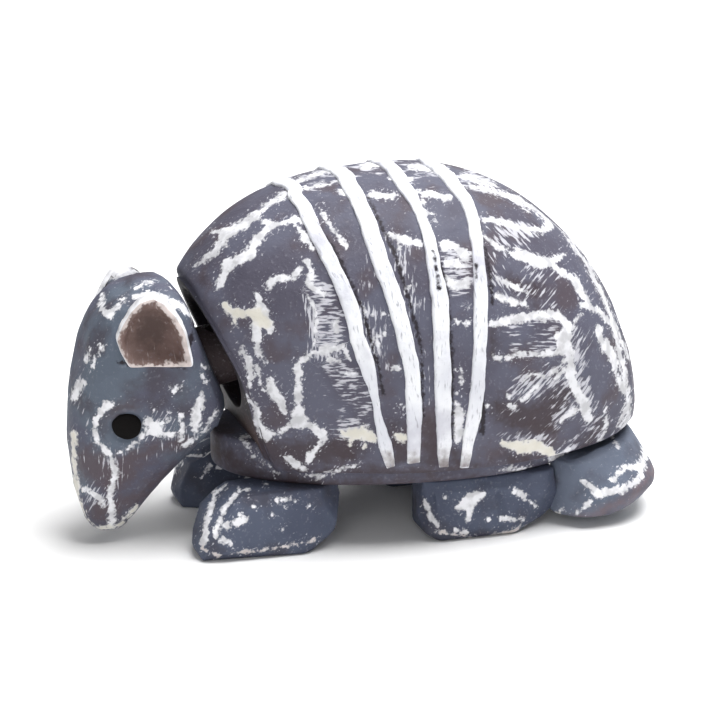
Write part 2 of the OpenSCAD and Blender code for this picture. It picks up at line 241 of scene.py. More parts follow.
def seen(points):
    """Right and up of points in mm, from the side that the painter works on."""
    away = points - sight_eye
    spread = np.stack([away @ sight_right, away @ sight_up], -1)
    return spread * sight_far / -(away @ sight_back)[:, None]


def points_of(mesh):
    """Where a mesh's points are, in mm, and which way each faces."""
    points, normals = np.empty(len(mesh.vertices) * 3), np.empty(len(mesh.vertices) * 3)
    mesh.vertices.foreach_get("co", points)
    mesh.vertices.foreach_get("normal", normals)
    return points.reshape(-1, 3) * 1000, normals.reshape(-1, 3)


def from_strokes(at, strokes, reach=untouched):
    """Distance in mm from the nearest stroke's edge, less than 0 inside it."""
    best = np.full(len(at), reach)
    for stroke in strokes:
        rows = np.array(stroke if len(stroke) > 1 else stroke * 2, float)
        for (x0, y0, w0), (x1, y1, w1) in zip(rows[:-1], rows[1:]):
            low, high = np.minimum((x0, y0), (x1, y1)) - reach, np.maximum((x0, y0), (x1, y1)) + reach
            near = np.nonzero(((at > low) & (at < high)).all(1))[0]
            run = np.array([x1 - x0, y1 - y0])
            off = at[near] - (x0, y0)
            part = np.clip(off @ run / max(run @ run, 1e-6), 0, 1)
            away = np.hypot(*(off - part[:, None] * run).T) - (w0 + (w1 - w0) * part) / 2
            best[near] = np.minimum(best[near], away)
    return best


def brush_on(piece, white=(), brown=(), dark=(), cream=(), streaks=(), net=None):
    """Stores on each point of a piece how near it is to the strokes of each colour, in mm."""
    mesh, count = piece.data, len(piece.data.vertices)
    points, normals = points_of(mesh)
    near = soft_step(normals @ sight_back, 0.0, grazing)
    far = (1 - near) * soft_step((normals * mirrored) @ sight_back, 0.0, grazing)
    rest = 1 - near - far
    at, at_far = seen(points), seen(points * mirrored)
    right, up = at_far.T                              # the far side isn't an exact mirror image
    at_far = at_far + np.stack([1.4 * np.sin(up / 6 + 1), 1.2 * np.sin(right / 7 + 2)], -1)
    net_gap = net(points) if net else np.full(count, untouched)
    for name, strokes in (("white", white), ("brown", brown), ("dark", dark), ("cream", cream)):
        gap = near * from_strokes(at, strokes) + far * from_strokes(at_far, strokes)
        gap += rest * (net_gap if name == "white" else untouched)
        mesh.attributes.new(name, "FLOAT", "POINT").data.foreach_set("value", gap)
    use = np.where((near >= far)[:, None], at, at_far)
    right, up = use.T
    streak = np.stack([(right + up) * 2.6, (up - right) * 0.7, np.full(count, 0.03)], -1)
    for angle, strength, area in streaks:
        amount = strength * soft_step(-from_strokes(use, [area]), -2.6, 1.4) * np.clip(near + far, 0, 1)
        c, s = math.cos(math.radians(angle)), math.sin(math.radians(angle))
        laid = np.stack([right * c + up * s, up * c - right * s, amount], -1)
        streak = np.where((amount > streak[:, 2])[:, None], laid, streak)
    mesh.attributes.new("streak", "FLOAT_VECTOR", "POINT").data.foreach_set("vector", streak.ravel())


back_plates = [(49, -12, 33), (50, -3, 24), (50, 7, 32), (48, 15, 24), (46, 16, 40), (47, 0, 43),
               (46, -14, 44), (50, -12, 19), (50, 4, 16), (47, 17, 17), (46, -19, 26), (40, 0, 53),
               (40, 13, 51), (41, -11, 52), (-30, 12, 44), (-30, -8, 46), (-26, 3, 53)]


def plate_net(points, plates=back_plates):
    """Distance from the borders of hand-sized plates, for the parts that both side views miss."""
    away = np.sort(np.linalg.norm(points[:, None, :] - np.array(plates, float), axis=2), axis=1)
    half_line = 0.55
    return (away[:, 1] - away[:, 0]) / 2 - half_line


def carved_paint(name, main, second, white=(0.80, 0.80, 0.83), brown=(0.10, 0.062, 0.055),
                 cream=(0.64, 0.61, 0.52), dark=(0.018, 0.014, 0.020), fleck=(0.60, 0.60, 0.65),
                 warm=(0.070, 0.052, 0.062), rough=0.66, dust=0.10):
    """Brushed paint on carved wood, with the strokes read from the piece's own attributes."""
    paint = bpy.data.materials.new(name)
    paint.use_nodes = True
    tree = paint.node_tree
    shader = tree.nodes["Principled BSDF"]
    shader.inputs["Roughness"].default_value = rough
    shader.inputs["Specular IOR Level"].default_value = 0.3

    def put(kind, **values):
        node = tree.nodes.new(kind)
        for key, value in values.items():
            setattr(node, key, value)
        return node

    def wire(source, target):
        tree.links.new(source, target)

    def sum_of(kind, a, b):
        node = put("ShaderNodeMath", operation=kind)
        for socket, value in zip(node.inputs, (a, b)):
            if isinstance(value, (int, float)):
                socket.default_value = value
            else:
                wire(value, socket)
        return node.outputs[0]

    def ramp(value, low, high):
        node = put("ShaderNodeMapRange", interpolation_type="SMOOTHSTEP")
        wire(value, node.inputs["Value"])
        node.inputs["From Min"].default_value, node.inputs["From Max"].default_value = low, high
        return node.outputs[0]

    def grain(where, scale, detail=3.0):
        node = put("ShaderNodeTexNoise")
        wire(where, node.inputs["Vector"])
        node.inputs["Scale"].default_value, node.inputs["Detail"].default_value = scale, detail
        return node.outputs["Fac"]

    def blend(factor, under, over):
        node = put("ShaderNodeMix", data_type="RGBA")
        wire(factor, node.inputs[0])
        for socket, value in ((node.inputs[6], under), (node.inputs[7], over)):
            if isinstance(value, tuple):
                socket.default_value = (*value, 1)
            else:
                wire(value, socket)
        return node.outputs[2]

    def gap(attribute, wander, soft):
        """How fully a stroke covers, with an uneven bristle edge."""
        away = put("ShaderNodeAttribute", attribute_name=attribute).outputs["Fac"]
        off = sum_of("MULTIPLY", sum_of("SUBTRACT", edge, 0.5), wander)
        return ramp(sum_of("ADD", sum_of("ADD", away, off), ragged), soft, -soft)

    place = put("ShaderNodeTexCoord").outputs["Object"]
    edge = grain(place, 620, 4)
    broad, fine = grain(place, 95, 3), grain(place, 1500, 2)
    ragged = sum_of("MULTIPLY", sum_of("SUBTRACT", fine, 0.5), 1.4)
    colour = blend(ramp(broad, 0.38, 0.62), main, second)
    colour = blend(sum_of("MULTIPLY", ramp(grain(place, 130, 4), 0.50, 0.68), 0.75), colour, warm)
    colour = blend(sum_of("MULTIPLY", ramp(fine, 0.58, 0.75), 0.16), colour, (0.36, 0.36, 0.41))
    colour = blend(sum_of("MULTIPLY", gap("brown", 4.0, 1.8), 0.8), colour, brown)
    streak = put("ShaderNodeSeparateXYZ")
    wire(put("ShaderNodeAttribute", attribute_name="streak").outputs["Vector"], streak.inputs[0])
    comb = put("ShaderNodeCombineXYZ")
    wire(sum_of("MULTIPLY", streak.outputs[0], 0.42), comb.inputs[0])
    wire(sum_of("MULTIPLY", streak.outputs[1], 2.3), comb.inputs[1])
    dry = sum_of("ADD", grain(comb.outputs[0], 1.0, 4), sum_of("MULTIPLY", streak.outputs[2], 0.25))
    dry = sum_of("ADD", dry, sum_of("MULTIPLY", sum_of("SUBTRACT", edge, 0.5), 0.22))
    near_stroke = ramp(put("ShaderNodeAttribute", attribute_name="white").outputs["Fac"], 2.6, 0.0)
    dry = sum_of("ADD", dry, sum_of("MULTIPLY", near_stroke, dust))
    colour = blend(sum_of("MULTIPLY", ramp(dry, 0.70, 0.84), 0.78), colour, fleck)
    lit = blend(ramp(grain(place, 420, 4), 0.38, 0.60), tuple(0.70 * c for c in white), white)
    lit = blend(sum_of("MULTIPLY", gap("cream", 2.0, 0.8), 0.8), lit, cream)
    full = gap("white", 1.9, 0.24)
    colour = blend(full, colour, lit)
    # Dark strokes: painted shadow by the ridges and under the ear, and a thin line round each ear's back.
    colour = blend(gap("dark", 0.5, 0.3), colour, dark)
    wire(colour, shader.inputs["Base Color"])
    height = sum_of("ADD", fine, sum_of("MULTIPLY", edge, 1.2))
    height = sum_of("ADD", sum_of("MULTIPLY", full, 0.5), height)
    bump = put("ShaderNodeBump")
    bump.inputs["Strength"].default_value, bump.inputs["Distance"].default_value = 0.35, 0.00025
    wire(height, bump.inputs["Height"])
    wire(bump.outputs[0], shader.inputs["Normal"])
    return paint


front_strokes = [
    [(-29.5, 16.8, .5), (-26.5, 18.8, 1.2), (-24.6, 21, 1.6), (-24.2, 22.5, 2.2), (-21, 24, 1.5),
     (-18.5, 25.8, 1.3), (-16.8, 27.5, .8), (-13.5, 29.6, 1.2)],
    [(-26.5, 23, .5), (-24.5, 22.8, 1)],
    [(-25.8, 12.8, .6), (-24.3, 15, 1.4), (-23.2, 17.2, 2.2), (-21, 18.2, 1.5), (-19.5, 19.2, 2.2),
     (-18.4, 21.6, 1.5), (-16, 23.8, 1.5), (-17.1, 24.9, .8)],
    [(-16, 24, 1.2), (-13.5, 24.5, .6), (-12, 25.2, 1.2), (-10, 24.8, 1)],
    [(-11.3, 24, .6), (-9.8, 21.8, 1.3), (-8.5, 20, .8)],
    [(-16.8, 12.6, .6), (-15.6, 14, 1.4), (-14.3, 14.7, 1.2), (-11.7, 14.6, .8), (-10.8, 16.2, 1.3)],
    [(-9.8, 17.7, .8), (-8.5, 16, .6), (-9.2, 13.6, 1), (-6.8, 11.8, 1)],
    [(-9.9, 12.6, .5), (-8.2, 9.6, .5), (-7.7, 6.5, .4)],
    [(-18.4, 12, .6), (-17.8, 9.5, 2), (-16.2, 5.5, 1.6)],
    [(-18.4, 8.5, 2.4), (-18.4, 5, 1.6), (-18.4, 2, .9), (-17, -.5, .6)],
    [(-21.2, 1.8, 1), (-20, 0, 1.4), (-19.4, -3.1, 1)], [(-19.6, -4.6, .8)],
    [(-18.4, -1, .4), (-17.3, -5.6, .3)],
    [(-20.4, -6, .6), (-18.4, -9.2, 1.4), (-17.9, -11.7, 1), (-17, -13.4, 1.8), (-14.5, -13.3, .8),
     (-12.2, -11.2, .4)],
    [(-16, -3.2, .6), (-15.8, -5.6, 1.9), (-14.3, -7.2, 1.9), (-13.5, -9.2, .8)],
    [(-2, .5, .4), (-3, 2.4, 1), (-6, 1.7, 1.4), (-8.2, 1.3, 1), (-10.7, -.5, 1.2), (-11.2, -1.8, 1.4),
     (-10.9, -5, 1), (-11, -9.2, 1.6), (-11, -10.8, 2.8), (-9.2, -11.7, 1.4), (-6.9, -13, 1.6),
     (-6.1, -14, 1), (-7.7, -15.6, .8), (-9, -17.2, 1.5), (-9.4, -18.4, .8)],
    [(-5.6, 0, .8), (-3.4, -.2, .4)], [(-13.3, -17.3, .8), (-11.2, -18.6, 1.2), (-10.2, -19.4, .8)],
    [(-9.4, -20.4, .5), (-7.4, -21, .6), (-4.6, -19.9, .5), (-.3, -18.6, .5)],
    [(-2.5, -2.4, .5), (-1.3, -2.4, .4)], [(-8, 7, .5), (-8.2, 2.5, .3)], [(-4.4, 7, .5), (-4.1, 2.5, .3)]]
front_cream = [
    [(-24.3, 9.8, 1), (-22.2, 8.2, 2), (-20, 8.6, 1.2), (-18.6, 8.2, 2.6), (-17, 6.4, 2)],
    [(-22.6, 8, 1), (-22.3, 6.2, .6)], [(-2.9, -13.3, 1.6), (.5, -13, 2.4), (2.6, -14.2, 1.4)],
    [(-1.6, -13.5, 1), (-1.8, -15.4, .5)], [(.8, -13.5, 1), (.7, -15.5, .5)]]
middle_strokes = [
    [(4.4, 4.9, .4), (2.8, 3.8, 1), (3.4, 2, .6)], [(5.6, -1.5, .4), (7.1, -1.5, .5)],
    [(7, -8, .3), (8.2, -8.4, .7), (7.6, -10, .3)], [(-7.2, 27, .8), (-5, 23.5, .5), (-2.6, 20.5, .9)],
    [(.8, 8.6, .7)], [(2.2, 8.4, .6)], [(4.2, 8.2, .6)], [(-11, 30.4, .5), (-4, 31.8, .4)],
    [(2, 29.6, .8), (4.4, 29.3, 1), (7, 29.5, .8)], [(5.4, 22.4, 1), (8, 21.4, 1.6), (10.4, 20.8, 1.4)],
    [(6.9, 21, .5), (7.4, 18.5, .3)], [(7.2, 17, .6)], [(8.8, 13, .6)], [(10, 10, .6)],
    [(10.2, 30, .7), (13, 29.4, 1.1), (16, 28.9, 1.1)], [(13, 26.2, .6)], [(13.7, 24.8, .6)],
    [(15.2, 20.4, 1.8), (17.2, 20.2, 1.2), (19, 18.4, 1.6)], [(15.4, 17.4, 1.6), (18.6, 16.8, 1.2)],
    [(15.4, 14.2, 1.8), (17, 13.2, 1.6), (19, 13.8, 1.4)], [(19.1, 9.6, .7)], [(19.1, 6.4, .9)],
    [(17.2, 6.8, .5)], [(17.2, -2, .6)], [(18.2, -1.8, .5), (18.2, -4, .4)], [(17.3, -5.8, .6)],
    [(17.1, -7.8, .9)], [(17.6, -9.2, 1.8), (17.6, -14.4, 1.6)],
    [(-13, 31.2, .8), (-8.5, 33, .7), (-3.5, 34.4, .9)], [(.5, 34.7, 1.1), (5.5, 35, 1)],
    [(9, 34.6, 1), (14.5, 33.8, 1)], [(18.5, 32.8, 1), (24, 31.2, .9)], [(5.8, 32.6, .8), (9.4, 32.2, .8)],
    [(-4, 30.4, .5), (-1.8, 29.8, .8)], [(11.2, 28.2, .6), (12, 24.6, .6)]]
middle_cream = [[(6.4, -13.2, 1), (7.6, -14, 1.6)]]
rear_strokes = [
    [(19.6, 31, .8), (23.7, 30.2, 1), (27.6, 28.9, 1.1), (30.1, 26.9, .7)],
    [(21.7, 25.4, .8), (25.8, 24.4, 1.1), (30.4, 23.3, 1), (32.6, 23.1, 1.2), (33.7, 23.9, 1.4),
     (33, 25.6, 1), (31.8, 26.4, .8)],
    [(31.9, 26.4, .7), (34.7, 25.1, 1), (38, 21.3, 1), (40.1, 19, .6)],
    [(26.3, 19.3, .8), (28.6, 19, 1.6), (32.4, 17.2, 2), (34.7, 17.7, 1.6), (36.2, 18.7, .8)],
    [(34.7, 16.7, .8), (38.5, 14.2, 1.4), (39.5, 12, 1.4), (40.8, 10.3, 1)],
    [(24.5, 11.4, .8), (27, 10.6, 1.3), (29.6, 10.1, 1)],
    [(23.7, 6.5, 1), (28, 7.4, 1.4), (33, 7.8, 1.6), (34.7, 8.2, 1.6), (37.5, 6.1, 1.2)],
    [(37, 5.6, 1.8), (36.4, 3.8, 3), (36.3, 2, 2.4)],
    [(24, .4, .8), (26.5, .5, .8), (28.6, 1, .8), (35.2, 1.3, 1)],
    [(37.2, 1.3, 1.8), (37.8, -.8, 1.4), (37.5, -2.6, 2), (39, -6, 1.8), (39.8, -7.7, 2),
     (40.8, -10.5, 1)],
    [(29, -3.8, .4), (30.4, -2.6, .6), (32, -2.6, .5), (33.7, -3.6, .4)],
    [(36.7, 0, .5), (33.7, -2.8, .6)], [(36.5, -1.5, .5), (34.4, -3.8, .5)],
    [(32, -4.3, .6), (29, -7.1, .6)], [(38, 6, .5), (39.4, 8, .4)],
    [(26.8, -6.6, .9)], [(26.8, -8.2, .8)], [(27.6, -8.5, .7)], [(22.7, -8.3, .7)],
    [(35.5, -11, .8), (38.8, -8.4, .8)], [(34, -17.8, 1), (37.2, -16, .6)],
    [(25.3, -19.5, .6), (37.2, -19.6, .8), (39.8, -18.6, 1), (42.3, -16.8, 1.2), (44.9, -15, 1.2),
     (46.9, -12.8, 1), (48.2, -8.9, .8)],
    [(39.8, 9.9, 1), (42.3, 8.9, 1), (44.4, 6.9, 1), (46.9, 2.8, .8), (48, .8, .8)],
    [(42.6, 5.6, 1), (43.1, 3.6, 1.2), (44.4, 1.8, 2), (45.4, 0, 1.2), (45.7, -2.6, 1),
     (48, -6.9, 1), (46.4, -11.7, .8)],
    [(43.9, -8.7, .4), (44.1, -11.7, .5), (42.8, -14.3, .5)],
    [(37.5, 21.4, .7), (40.5, 17.3, .8), (43.4, 11.3, .8), (45.2, 7.1, .9), (46.7, .6, .8),
     (47.6, -4.8, .9), (47.9, -9.6, .8)], [(28.6, 28.8, .6), (33.6, 25.4, .7)],
    [(21.5, 22.6, .5), (24.8, 20.2, .8), (27, 19.4, .8)],
    [(24.4, 14.6, .5), (27.2, 13.2, .6), (29.8, 12, .5)]]
rear_cream = [[(25.5, -14.8, 1), (28.5, -15.6, 2.2), (32, -15.4, 2), (33.7, -16.3, 1.6), (35.2, -18, 1)]]
wear_strokes = [
    [(-20, -15, 3), (-10, -20, 2.5), (0, -20.5, 3), (12, -20.5, 3), (24, -20, 2.5)],
    [(6, -12, 2), (7, -17, 4)], [(12.5, -12, 2), (13, -18, 4)], [(17, -17, 2.5), (18, -19, 3)],
    [(27, -18, 3), (35, -18.5, 2)], [(43, -12, 2.5), (40, -16, 3)], [(23.6, 5.2, 1), (23.6, .8, 1)],
    [(25, -9, 4), (32, -11, 6), (38, -5, 3)], [(-21, -12, 3), (-14, -17, 5), (-2, -16, 5)],
    [(27, 14, 2), (31, 12, 3)]]
# Painted shadow: near-black lines along the right side of each ridge and in the last ridge's split.
ridge_shadow_strokes = [
    [(-12.2, 28.6, .3), (-8, 24, .7), (-4.5, 19.5, .7), (-1.5, 13.5, .6), (.6, 8.5, .5), (1.8, 4, .5),
     (3.2, -1, .5), (4.2, -6, .5)],
    [(1.6, 29, .3), (4, 23.5, .5), (6, 19.5, .8), (8.6, 11, .5), (11, 2, .5), (11.2, -10, .5)],
    [(12.2, 24, .3), (14.2, 18, .6), (15.6, 12, .5), (16.4, 2, .6), (16.4, -14, .6)],
    [(20.4, 27, .3), (22.2, 20, .7), (23.4, 13.6, .6), (23.6, 10, .4)],
    [(21.9, -6.5, .4), (21.9, -9, 1.1), (21.9, -13, .9)], [(20.7, 17, .4), (20.7, 14.7, .3)]]
shell_streaks = [
    (0, .8, [(-6.5, 13, 3), (-6, 8, 5), (-6, 3.5, 4)]), (90, .7, [(-8.5, 9, 3), (-6, 2.5, 4)]),
    (0, .75, [(-4, -3, 5), (0, -7, 7), (-2, -11, 4)]), (0, .7, [(17.3, 18, 4), (17.3, 14, 4)]),
    (-45, .9, [(25.5, 22.8, 2.5), (29, 22.4, 2.5)]), (-60, .7, [(23.6, 18, 1.5), (24.6, 12.5, 1.5)]),
    (50, .7, [(31, 14, 4), (33.5, 12, 4)]), (0, .62, [(28, 4, 3), (33, 4, 4)]),
    (45, .62, [(29, -5, 4), (34, -5, 6), (36, -9, 4)]), (45, .5, [(27, -12, 3), (34, -13, 4)]),
    (60, .8, [(39, 4, 2), (39.5, 0, 2), (41, -8, 2)]), (45, .6, [(42, -12, 3), (38, -15, 3)]),
    (90, .6, [(3, 20, 3), (0, 12, 3), (3, 0, 3)]), (90, .5, [(8, 18, 3), (11, 0, 3), (12, -8, 3)]),
    (0, .4, [(-12, 33, 3), (6, 35, 3), (22, 32.5, 3)])]
brush_on(shell, white=front_strokes + middle_strokes + rear_strokes + front_cream + middle_cream
         + rear_cream, brown=wear_strokes, dark=ridge_shadow_strokes,
         cream=front_cream + middle_cream + rear_cream, streaks=shell_streaks, net=plate_net)
shell_paint = carved_paint("shell_paint", (0.074, 0.070, 0.098), (0.094, 0.096, 0.134),
                           white=(0.70, 0.70, 0.73), brown=(0.042, 0.027, 0.030), dust=0.125)
shell.data.materials.append(shell_paint)
# The mouth's face and bore: bare wood taken almost to black as painted shade of the hollow.
shaded_bare_inside = carved_paint("shaded_bare_inside", (0.022, 0.019, 0.026), (0.036, 0.027, 0.030),
                           warm=(0.016, 0.013, 0.018))
shell.data.materials.append(shaded_bare_inside)


# ---- Raised ridges ----
# Four bands left standing across the back when the plates between them were cut down, painted
# solid white. They run over the back from rim to rim and vary in breadth, as a knife leaves them.
def surface_of(piece):
    return BVHTree.FromPolygons([v.co for v in piece.data.vertices],
                                [list(p.vertices) for p in piece.data.polygons])


def modifiers_made_solid(piece, smooth=True):
    """Turns a piece's modifiers into its plain mesh."""
    bpy.context.view_layer.update()
    whole = bpy.data.meshes.new_from_object(piece.evaluated_get(bpy.context.evaluated_depsgraph_get()))
    whole.polygons.foreach_set("use_smooth", [smooth] * len(whole.polygons))
    piece.modifiers.clear()
    piece.data = whole


shell_surface = surface_of(shell)
ridge_lines = [
    [(-12.6, 30.6, 2.6), (-10, 27.3, 2.6), (-8, 23, 2.5), (-6, 19, 2.6), (-3.5, 14, 2.7), (-1.5, 9, 2.7),
     (-.5, 4, 2.6), (1, 0, 2.9), (2.3, -5, 1.6), (3.3, -10, 1.3), (4.5, -15, 2.4), (5.5, -19, 1.6)],
    [(-3, 33, 3.2), (-.6, 29, 3), (1.2, 25, 3), (3.5, 18, 2.9), (6.5, 10, 2.9), (8, 4, 2.8),
     (9.3, -2, 2.8), (9.7, -10, 2.8), (9.6, -18.2, 2.2)],
    [(6, 33.8, 3), (9.2, 28.9, 2.6), (10.5, 26.4, 1.8), (11.6, 24, 2), (12.5, 21.3, 2.3), (13.5, 15, 2.6),
     (14.3, 11, 3.2), (14.5, 6, 3), (14.8, -4, 3), (15, -15, 2.6), (14.9, -19, 1.8)],
    [(15.3, 33, 3.3), (17.1, 30.7, 3), (19.1, 28.2, 2.6), (20.2, 25, 2.3), (21, 20, 2.3), (21.5, 13, 2.5),
     (21.5, 5, 2.5), (21.3, 0, 2.5), (21, -5, 2.5), (20.3, -10, 2.6), (19.3, -15, 2.2), (18.6, -19, 1.6)]]
ridge_points, ridge_out, ridge_breadth, ridge_edges = [], [], [], []
side_steps, over_steps, clear_of_middle = 70, 11, 1.5
for rows in ridge_lines:
    rows, side = np.array(rows), []
    run = np.concatenate([[0], np.cumsum(np.hypot(*np.diff(rows[:, :2], axis=0).T))])
    for s in np.linspace(0, run[-1], side_steps):
        a, b, w = (np.interp(s, run, rows[:, k]) for k in range(3))
        ray = sight_right * a + sight_up * b - sight_back * sight_far
        hit = shell_surface.ray_cast(Vector(sight_eye / 1000), Vector(ray).normalized())[0]
        if hit is not None and hit.y < -clear_of_middle / 1000:
            side.append((np.array(hit), w))
    top, w_top = side[0]
    over = [(top * [1, k, 1], w_top) for k in np.linspace(1, -1, over_steps + 2)[1:-1]]
    line = [(p * [1, -1, 1], w) for p, w in reversed(side)] + [(p, w) for p, w in reversed(over)] + side
    start = len(ridge_points)
    for p, w in line:
        lifted = Vector((p[0], p[1], p[2] + (0.002 if abs(p[1]) < 0.004 else 0)))
        near, normal = shell_surface.find_nearest(lifted)[:2]
        ridge_points.append(near)
        ridge_out.append(normal)
        ridge_breadth.append(w / 2000)
    ridge_edges += [(k, k + 1) for k in range(start, len(ridge_points) - 1)]
for _ in range(6):                                    # a knife can't follow every facet
    smooth = [v.copy() for v in ridge_out]
    linked = {frozenset(e) for e in ridge_edges}
    for k in range(1, len(smooth) - 1):
        if frozenset((k - 1, k)) in linked and frozenset((k, k + 1)) in linked:
            ridge_out[k] = (smooth[k - 1] + smooth[k] * 2 + smooth[k + 1]).normalized()
paths = bpy.data.meshes.new("ridges")
paths.from_pydata(ridge_points, ridge_edges, [])
paths.attributes.new("out", "FLOAT_VECTOR", "POINT").data.foreach_set("vector", np.ravel(ridge_out))
paths.attributes.new("breadth", "FLOAT", "POINT").data.foreach_set("value", ridge_breadth)
ridges = bpy.data.objects.new("ridges", paths)
scene.collection.objects.link(ridges)

band = bpy.data.node_groups.new("carved_band", "GeometryNodeTree")
for label, kind in (("Paths", "NodeSocketGeometry"), ("Step", "NodeSocketFloat"),
                    ("Height", "NodeSocketFloat"), ("Unevenness", "NodeSocketFloat"),
                    ("Paint", "NodeSocketMaterial")):
    band.interface.new_socket(label, in_out="INPUT", socket_type=kind)
band.interface.new_socket("Bands", in_out="OUTPUT", socket_type="NodeSocketGeometry")


def band_node(kind, values=(), **settings):
    node = band.nodes.new(kind)
    for key, value in settings.items():
        setattr(node, key, value)
    for key, value in dict(values).items():
        if isinstance(value, bpy.types.NodeSocket):
            band.links.new(value, node.inputs[key])
        else:
            node.inputs[key].default_value = value
    return node


given = band.nodes.new("NodeGroupInput").outputs
out_way = band_node("GeometryNodeInputNamedAttribute", {"Name": "out"}, data_type="FLOAT_VECTOR")
breadth = band_node("GeometryNodeInputNamedAttribute", {"Name": "breadth"}, data_type="FLOAT")
line = band_node("GeometryNodeMeshToCurve", {"Mesh": given["Paths"]})
line = band_node("GeometryNodeResampleCurve", {"Curve": line.outputs[0], "Length": given["Step"]},
                 mode="LENGTH")
line = band_node("GeometryNodeSetCurveNormal", {"Curve": line.outputs[0], "Normal": out_way.outputs[0]},
                 mode="FREE")
section = band_node("GeometryNodeCurvePrimitiveQuadrilateral", {"Width": given["Height"], "Height": 2.0})
section = band_node("GeometryNodeFilletCurve", {"Curve": section.outputs[0], "Count": 5, "Radius": 0.34,
                                                "Limit Radius": True}, mode="POLY")
section = band_node("GeometryNodeResampleCurve", {"Curve": section.outputs[0], "Count": 26}, mode="COUNT")
solid = band_node("GeometryNodeCurveToMesh", {"Curve": line.outputs[0], "Profile Curve": section.outputs[0],
                                              "Scale": breadth.outputs[0], "Fill Caps": True})
wobble = band_node("ShaderNodeTexNoise", {"Scale": 320.0, "Detail": 3.0})
centred = band_node("ShaderNodeVectorMath", {0: wobble.outputs["Color"], 1: (0.5, 0.5, 0.5)},
                    operation="SUBTRACT")
shift = band_node("ShaderNodeVectorMath", {0: centred.outputs[0], "Scale": given["Unevenness"]},
                  operation="SCALE")
solid = band_node("GeometryNodeSetPosition", {"Geometry": solid.outputs[0], "Offset": shift.outputs[0]})
solid = band_node("GeometryNodeRealizeInstances", {"Geometry": solid.outputs[0]})
solid = band_node("GeometryNodeSetMaterial", {"Geometry": solid.outputs[0], "Material": given["Paint"]})
band.links.new(solid.outputs[0], band.nodes.new("NodeGroupOutput").inputs[0])
ridge_paint = carved_paint("ridge_paint", (0.64, 0.65, 0.70), (0.78, 0.79, 0.82), warm=(0.50, 0.50, 0.56),
                           fleck=(0.30, 0.30, 0.34))
carve = ridges.modifiers.new("carve", "NODES")
carve.node_group = band
socket_of = {s.name: s.identifier for s in band.interface.items_tree if s.in_out == "INPUT"}
for label, value in (("Step", 0.0004), ("Height", 0.75), ("Unevenness", 0.0007), ("Paint", ridge_paint)):
    carve[socket_of[label]] = value
modifiers_made_solid(ridges)
# The dark strokes are painted shade in the splits down the third and fourth ridges.
brush_on(ridges, dark=[[(13.2, 19.4, .3), (14.1, 12.8, .5)], [(20.7, 17, .4), (20.7, 14.7, .4)]],
         brown=[[(15, -17, .6), (15, -19.6, 5)], [(9.7, -17.2, .6), (9.7, -19.4, 5)],
                [(19, -17.4, .6), (18.6, -19.8, 4)], [(5.3, -17, .6), (5.6, -19.4, 4)]],
         streaks=[(-62, .55, [(-12, 31, 4), (-2, 14, 5)]), (-62, .55, [(-2, 33, 4), (3, 19, 5)]),
                  (-78, .5, [(0, 4, 6), (5, -18, 5)]), (-80, .5, [(5, 14, 6), (9.5, -10, 6)]),
                  (-84, .5, [(10, 27, 5), (14.5, 12, 6)]), (88, .5, [(15, 5, 6), (15, -15, 6)]),
                  (-80, .5, [(17, 31, 5), (21.4, 12, 5)]), (86, .5, [(21.4, 8, 5), (19.5, -17, 5)])])
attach(ridges, "body")
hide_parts("shell")


# ---- Belly ----
# The same block of wood goes on below the rim as a plain oval band. The painter's strokes run
# down over it, and its lower edge is left dark brown.
belly_z, belly_back, belly_front, belly_half_w, belly_around = 11.5, 31.0, 40.4, 21.2, 200
turn = np.linspace(0, 2 * math.pi, belly_around, endpoint=False)
spokes = np.stack([np.cos(turn), np.sin(turn)], -1)
reach = np.where(np.cos(turn) > 0, belly_back, belly_front)
oval = np.stack([plan_x + reach * spokes[:, 0], belly_half_w * spokes[:, 1]], -1)
belly_rings = []
for above, inset in ((0, 12), (0, 6), (0, 2.5), (0, 1.1), (0.2, 0.5), (0.6, 0.15), (1.2, 0), (2, 0), (3, 0),
                     (4.5, 0), (5.9, 0), (6.6, 0.2), (6.9, 0.6), (7, 1.4), (7, 6)):
    belly_rings.append(np.column_stack([oval - spokes * inset, np.full(belly_around, belly_z + above)]))
belly = closed_loft(belly_rings, "carved_belly")
chest_strokes = [[(-22.4, -11, .6), (-19.6, -16.4, .7), (-15, -20, .6)]]
bare_edge = [[(-26, -16, 3), (-17, -21.5, 3.4), (-5, -23, 3.4), (12, -23, 3.4), (26, -22, 3), (38, -19, 3)]]
brush_on(belly, white=front_strokes + rear_strokes + chest_strokes, brown=bare_edge)
# Near-black brown for the neck: its bare wood darkened as painted shade between head and shell.
shaded_neck_paint = carved_paint("shaded_neck_paint", (0.030, 0.020, 0.023), (0.055, 0.038, 0.040),
                           warm=(0.022, 0.016, 0.022))
belly.data.materials.append(shell_paint)
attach(belly, "body")
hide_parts("shell")


# ---- Head ----
# Carved with its neck from one block, with a nearly flat back, a long blunt snout and broad
# knife flats. It hangs by a wire eye in the neck, and a slug behind holds it level.
head_slices = np.array([
    (2.4, -49, -45, 0.28), (4, -50.6, -42.6, 0.4), (8, -51.9, -39.6, 0.52), (12.5, -52.6, -35.8, 0.62),
    (17.5, -53.1, -30.6, 0.74), (19.5, -53.15, -28.4, 0.78), (21, -53.2, -26.8, 0.82),
    (24, -53, -25.8, 0.87), (28, -52.7, -26.4, 0.93), (33, -51.7, -28.5, 0.99), (38, -50.2, -30.4, 1),
    (42, -47.9, -32, 0.94), (45, -45, -33.4, 0.78), (46.6, -42, -34.8, 0.52), (47.2, -40, -36.4, 0.2)])
head_half_w, head_middle = 12.0, np.array([-42, 0, 25])
eye_x, eye_z, eye_r, socket_deep, socket_rim = -44.8, 23.6, 2.45, 0.5, 0.18
turn = np.linspace(0, 2 * math.pi, 240, endpoint=False)
bend = np.where(np.cos(turn) > 0, 0.5, 0.85)          # the back is squarer than the face
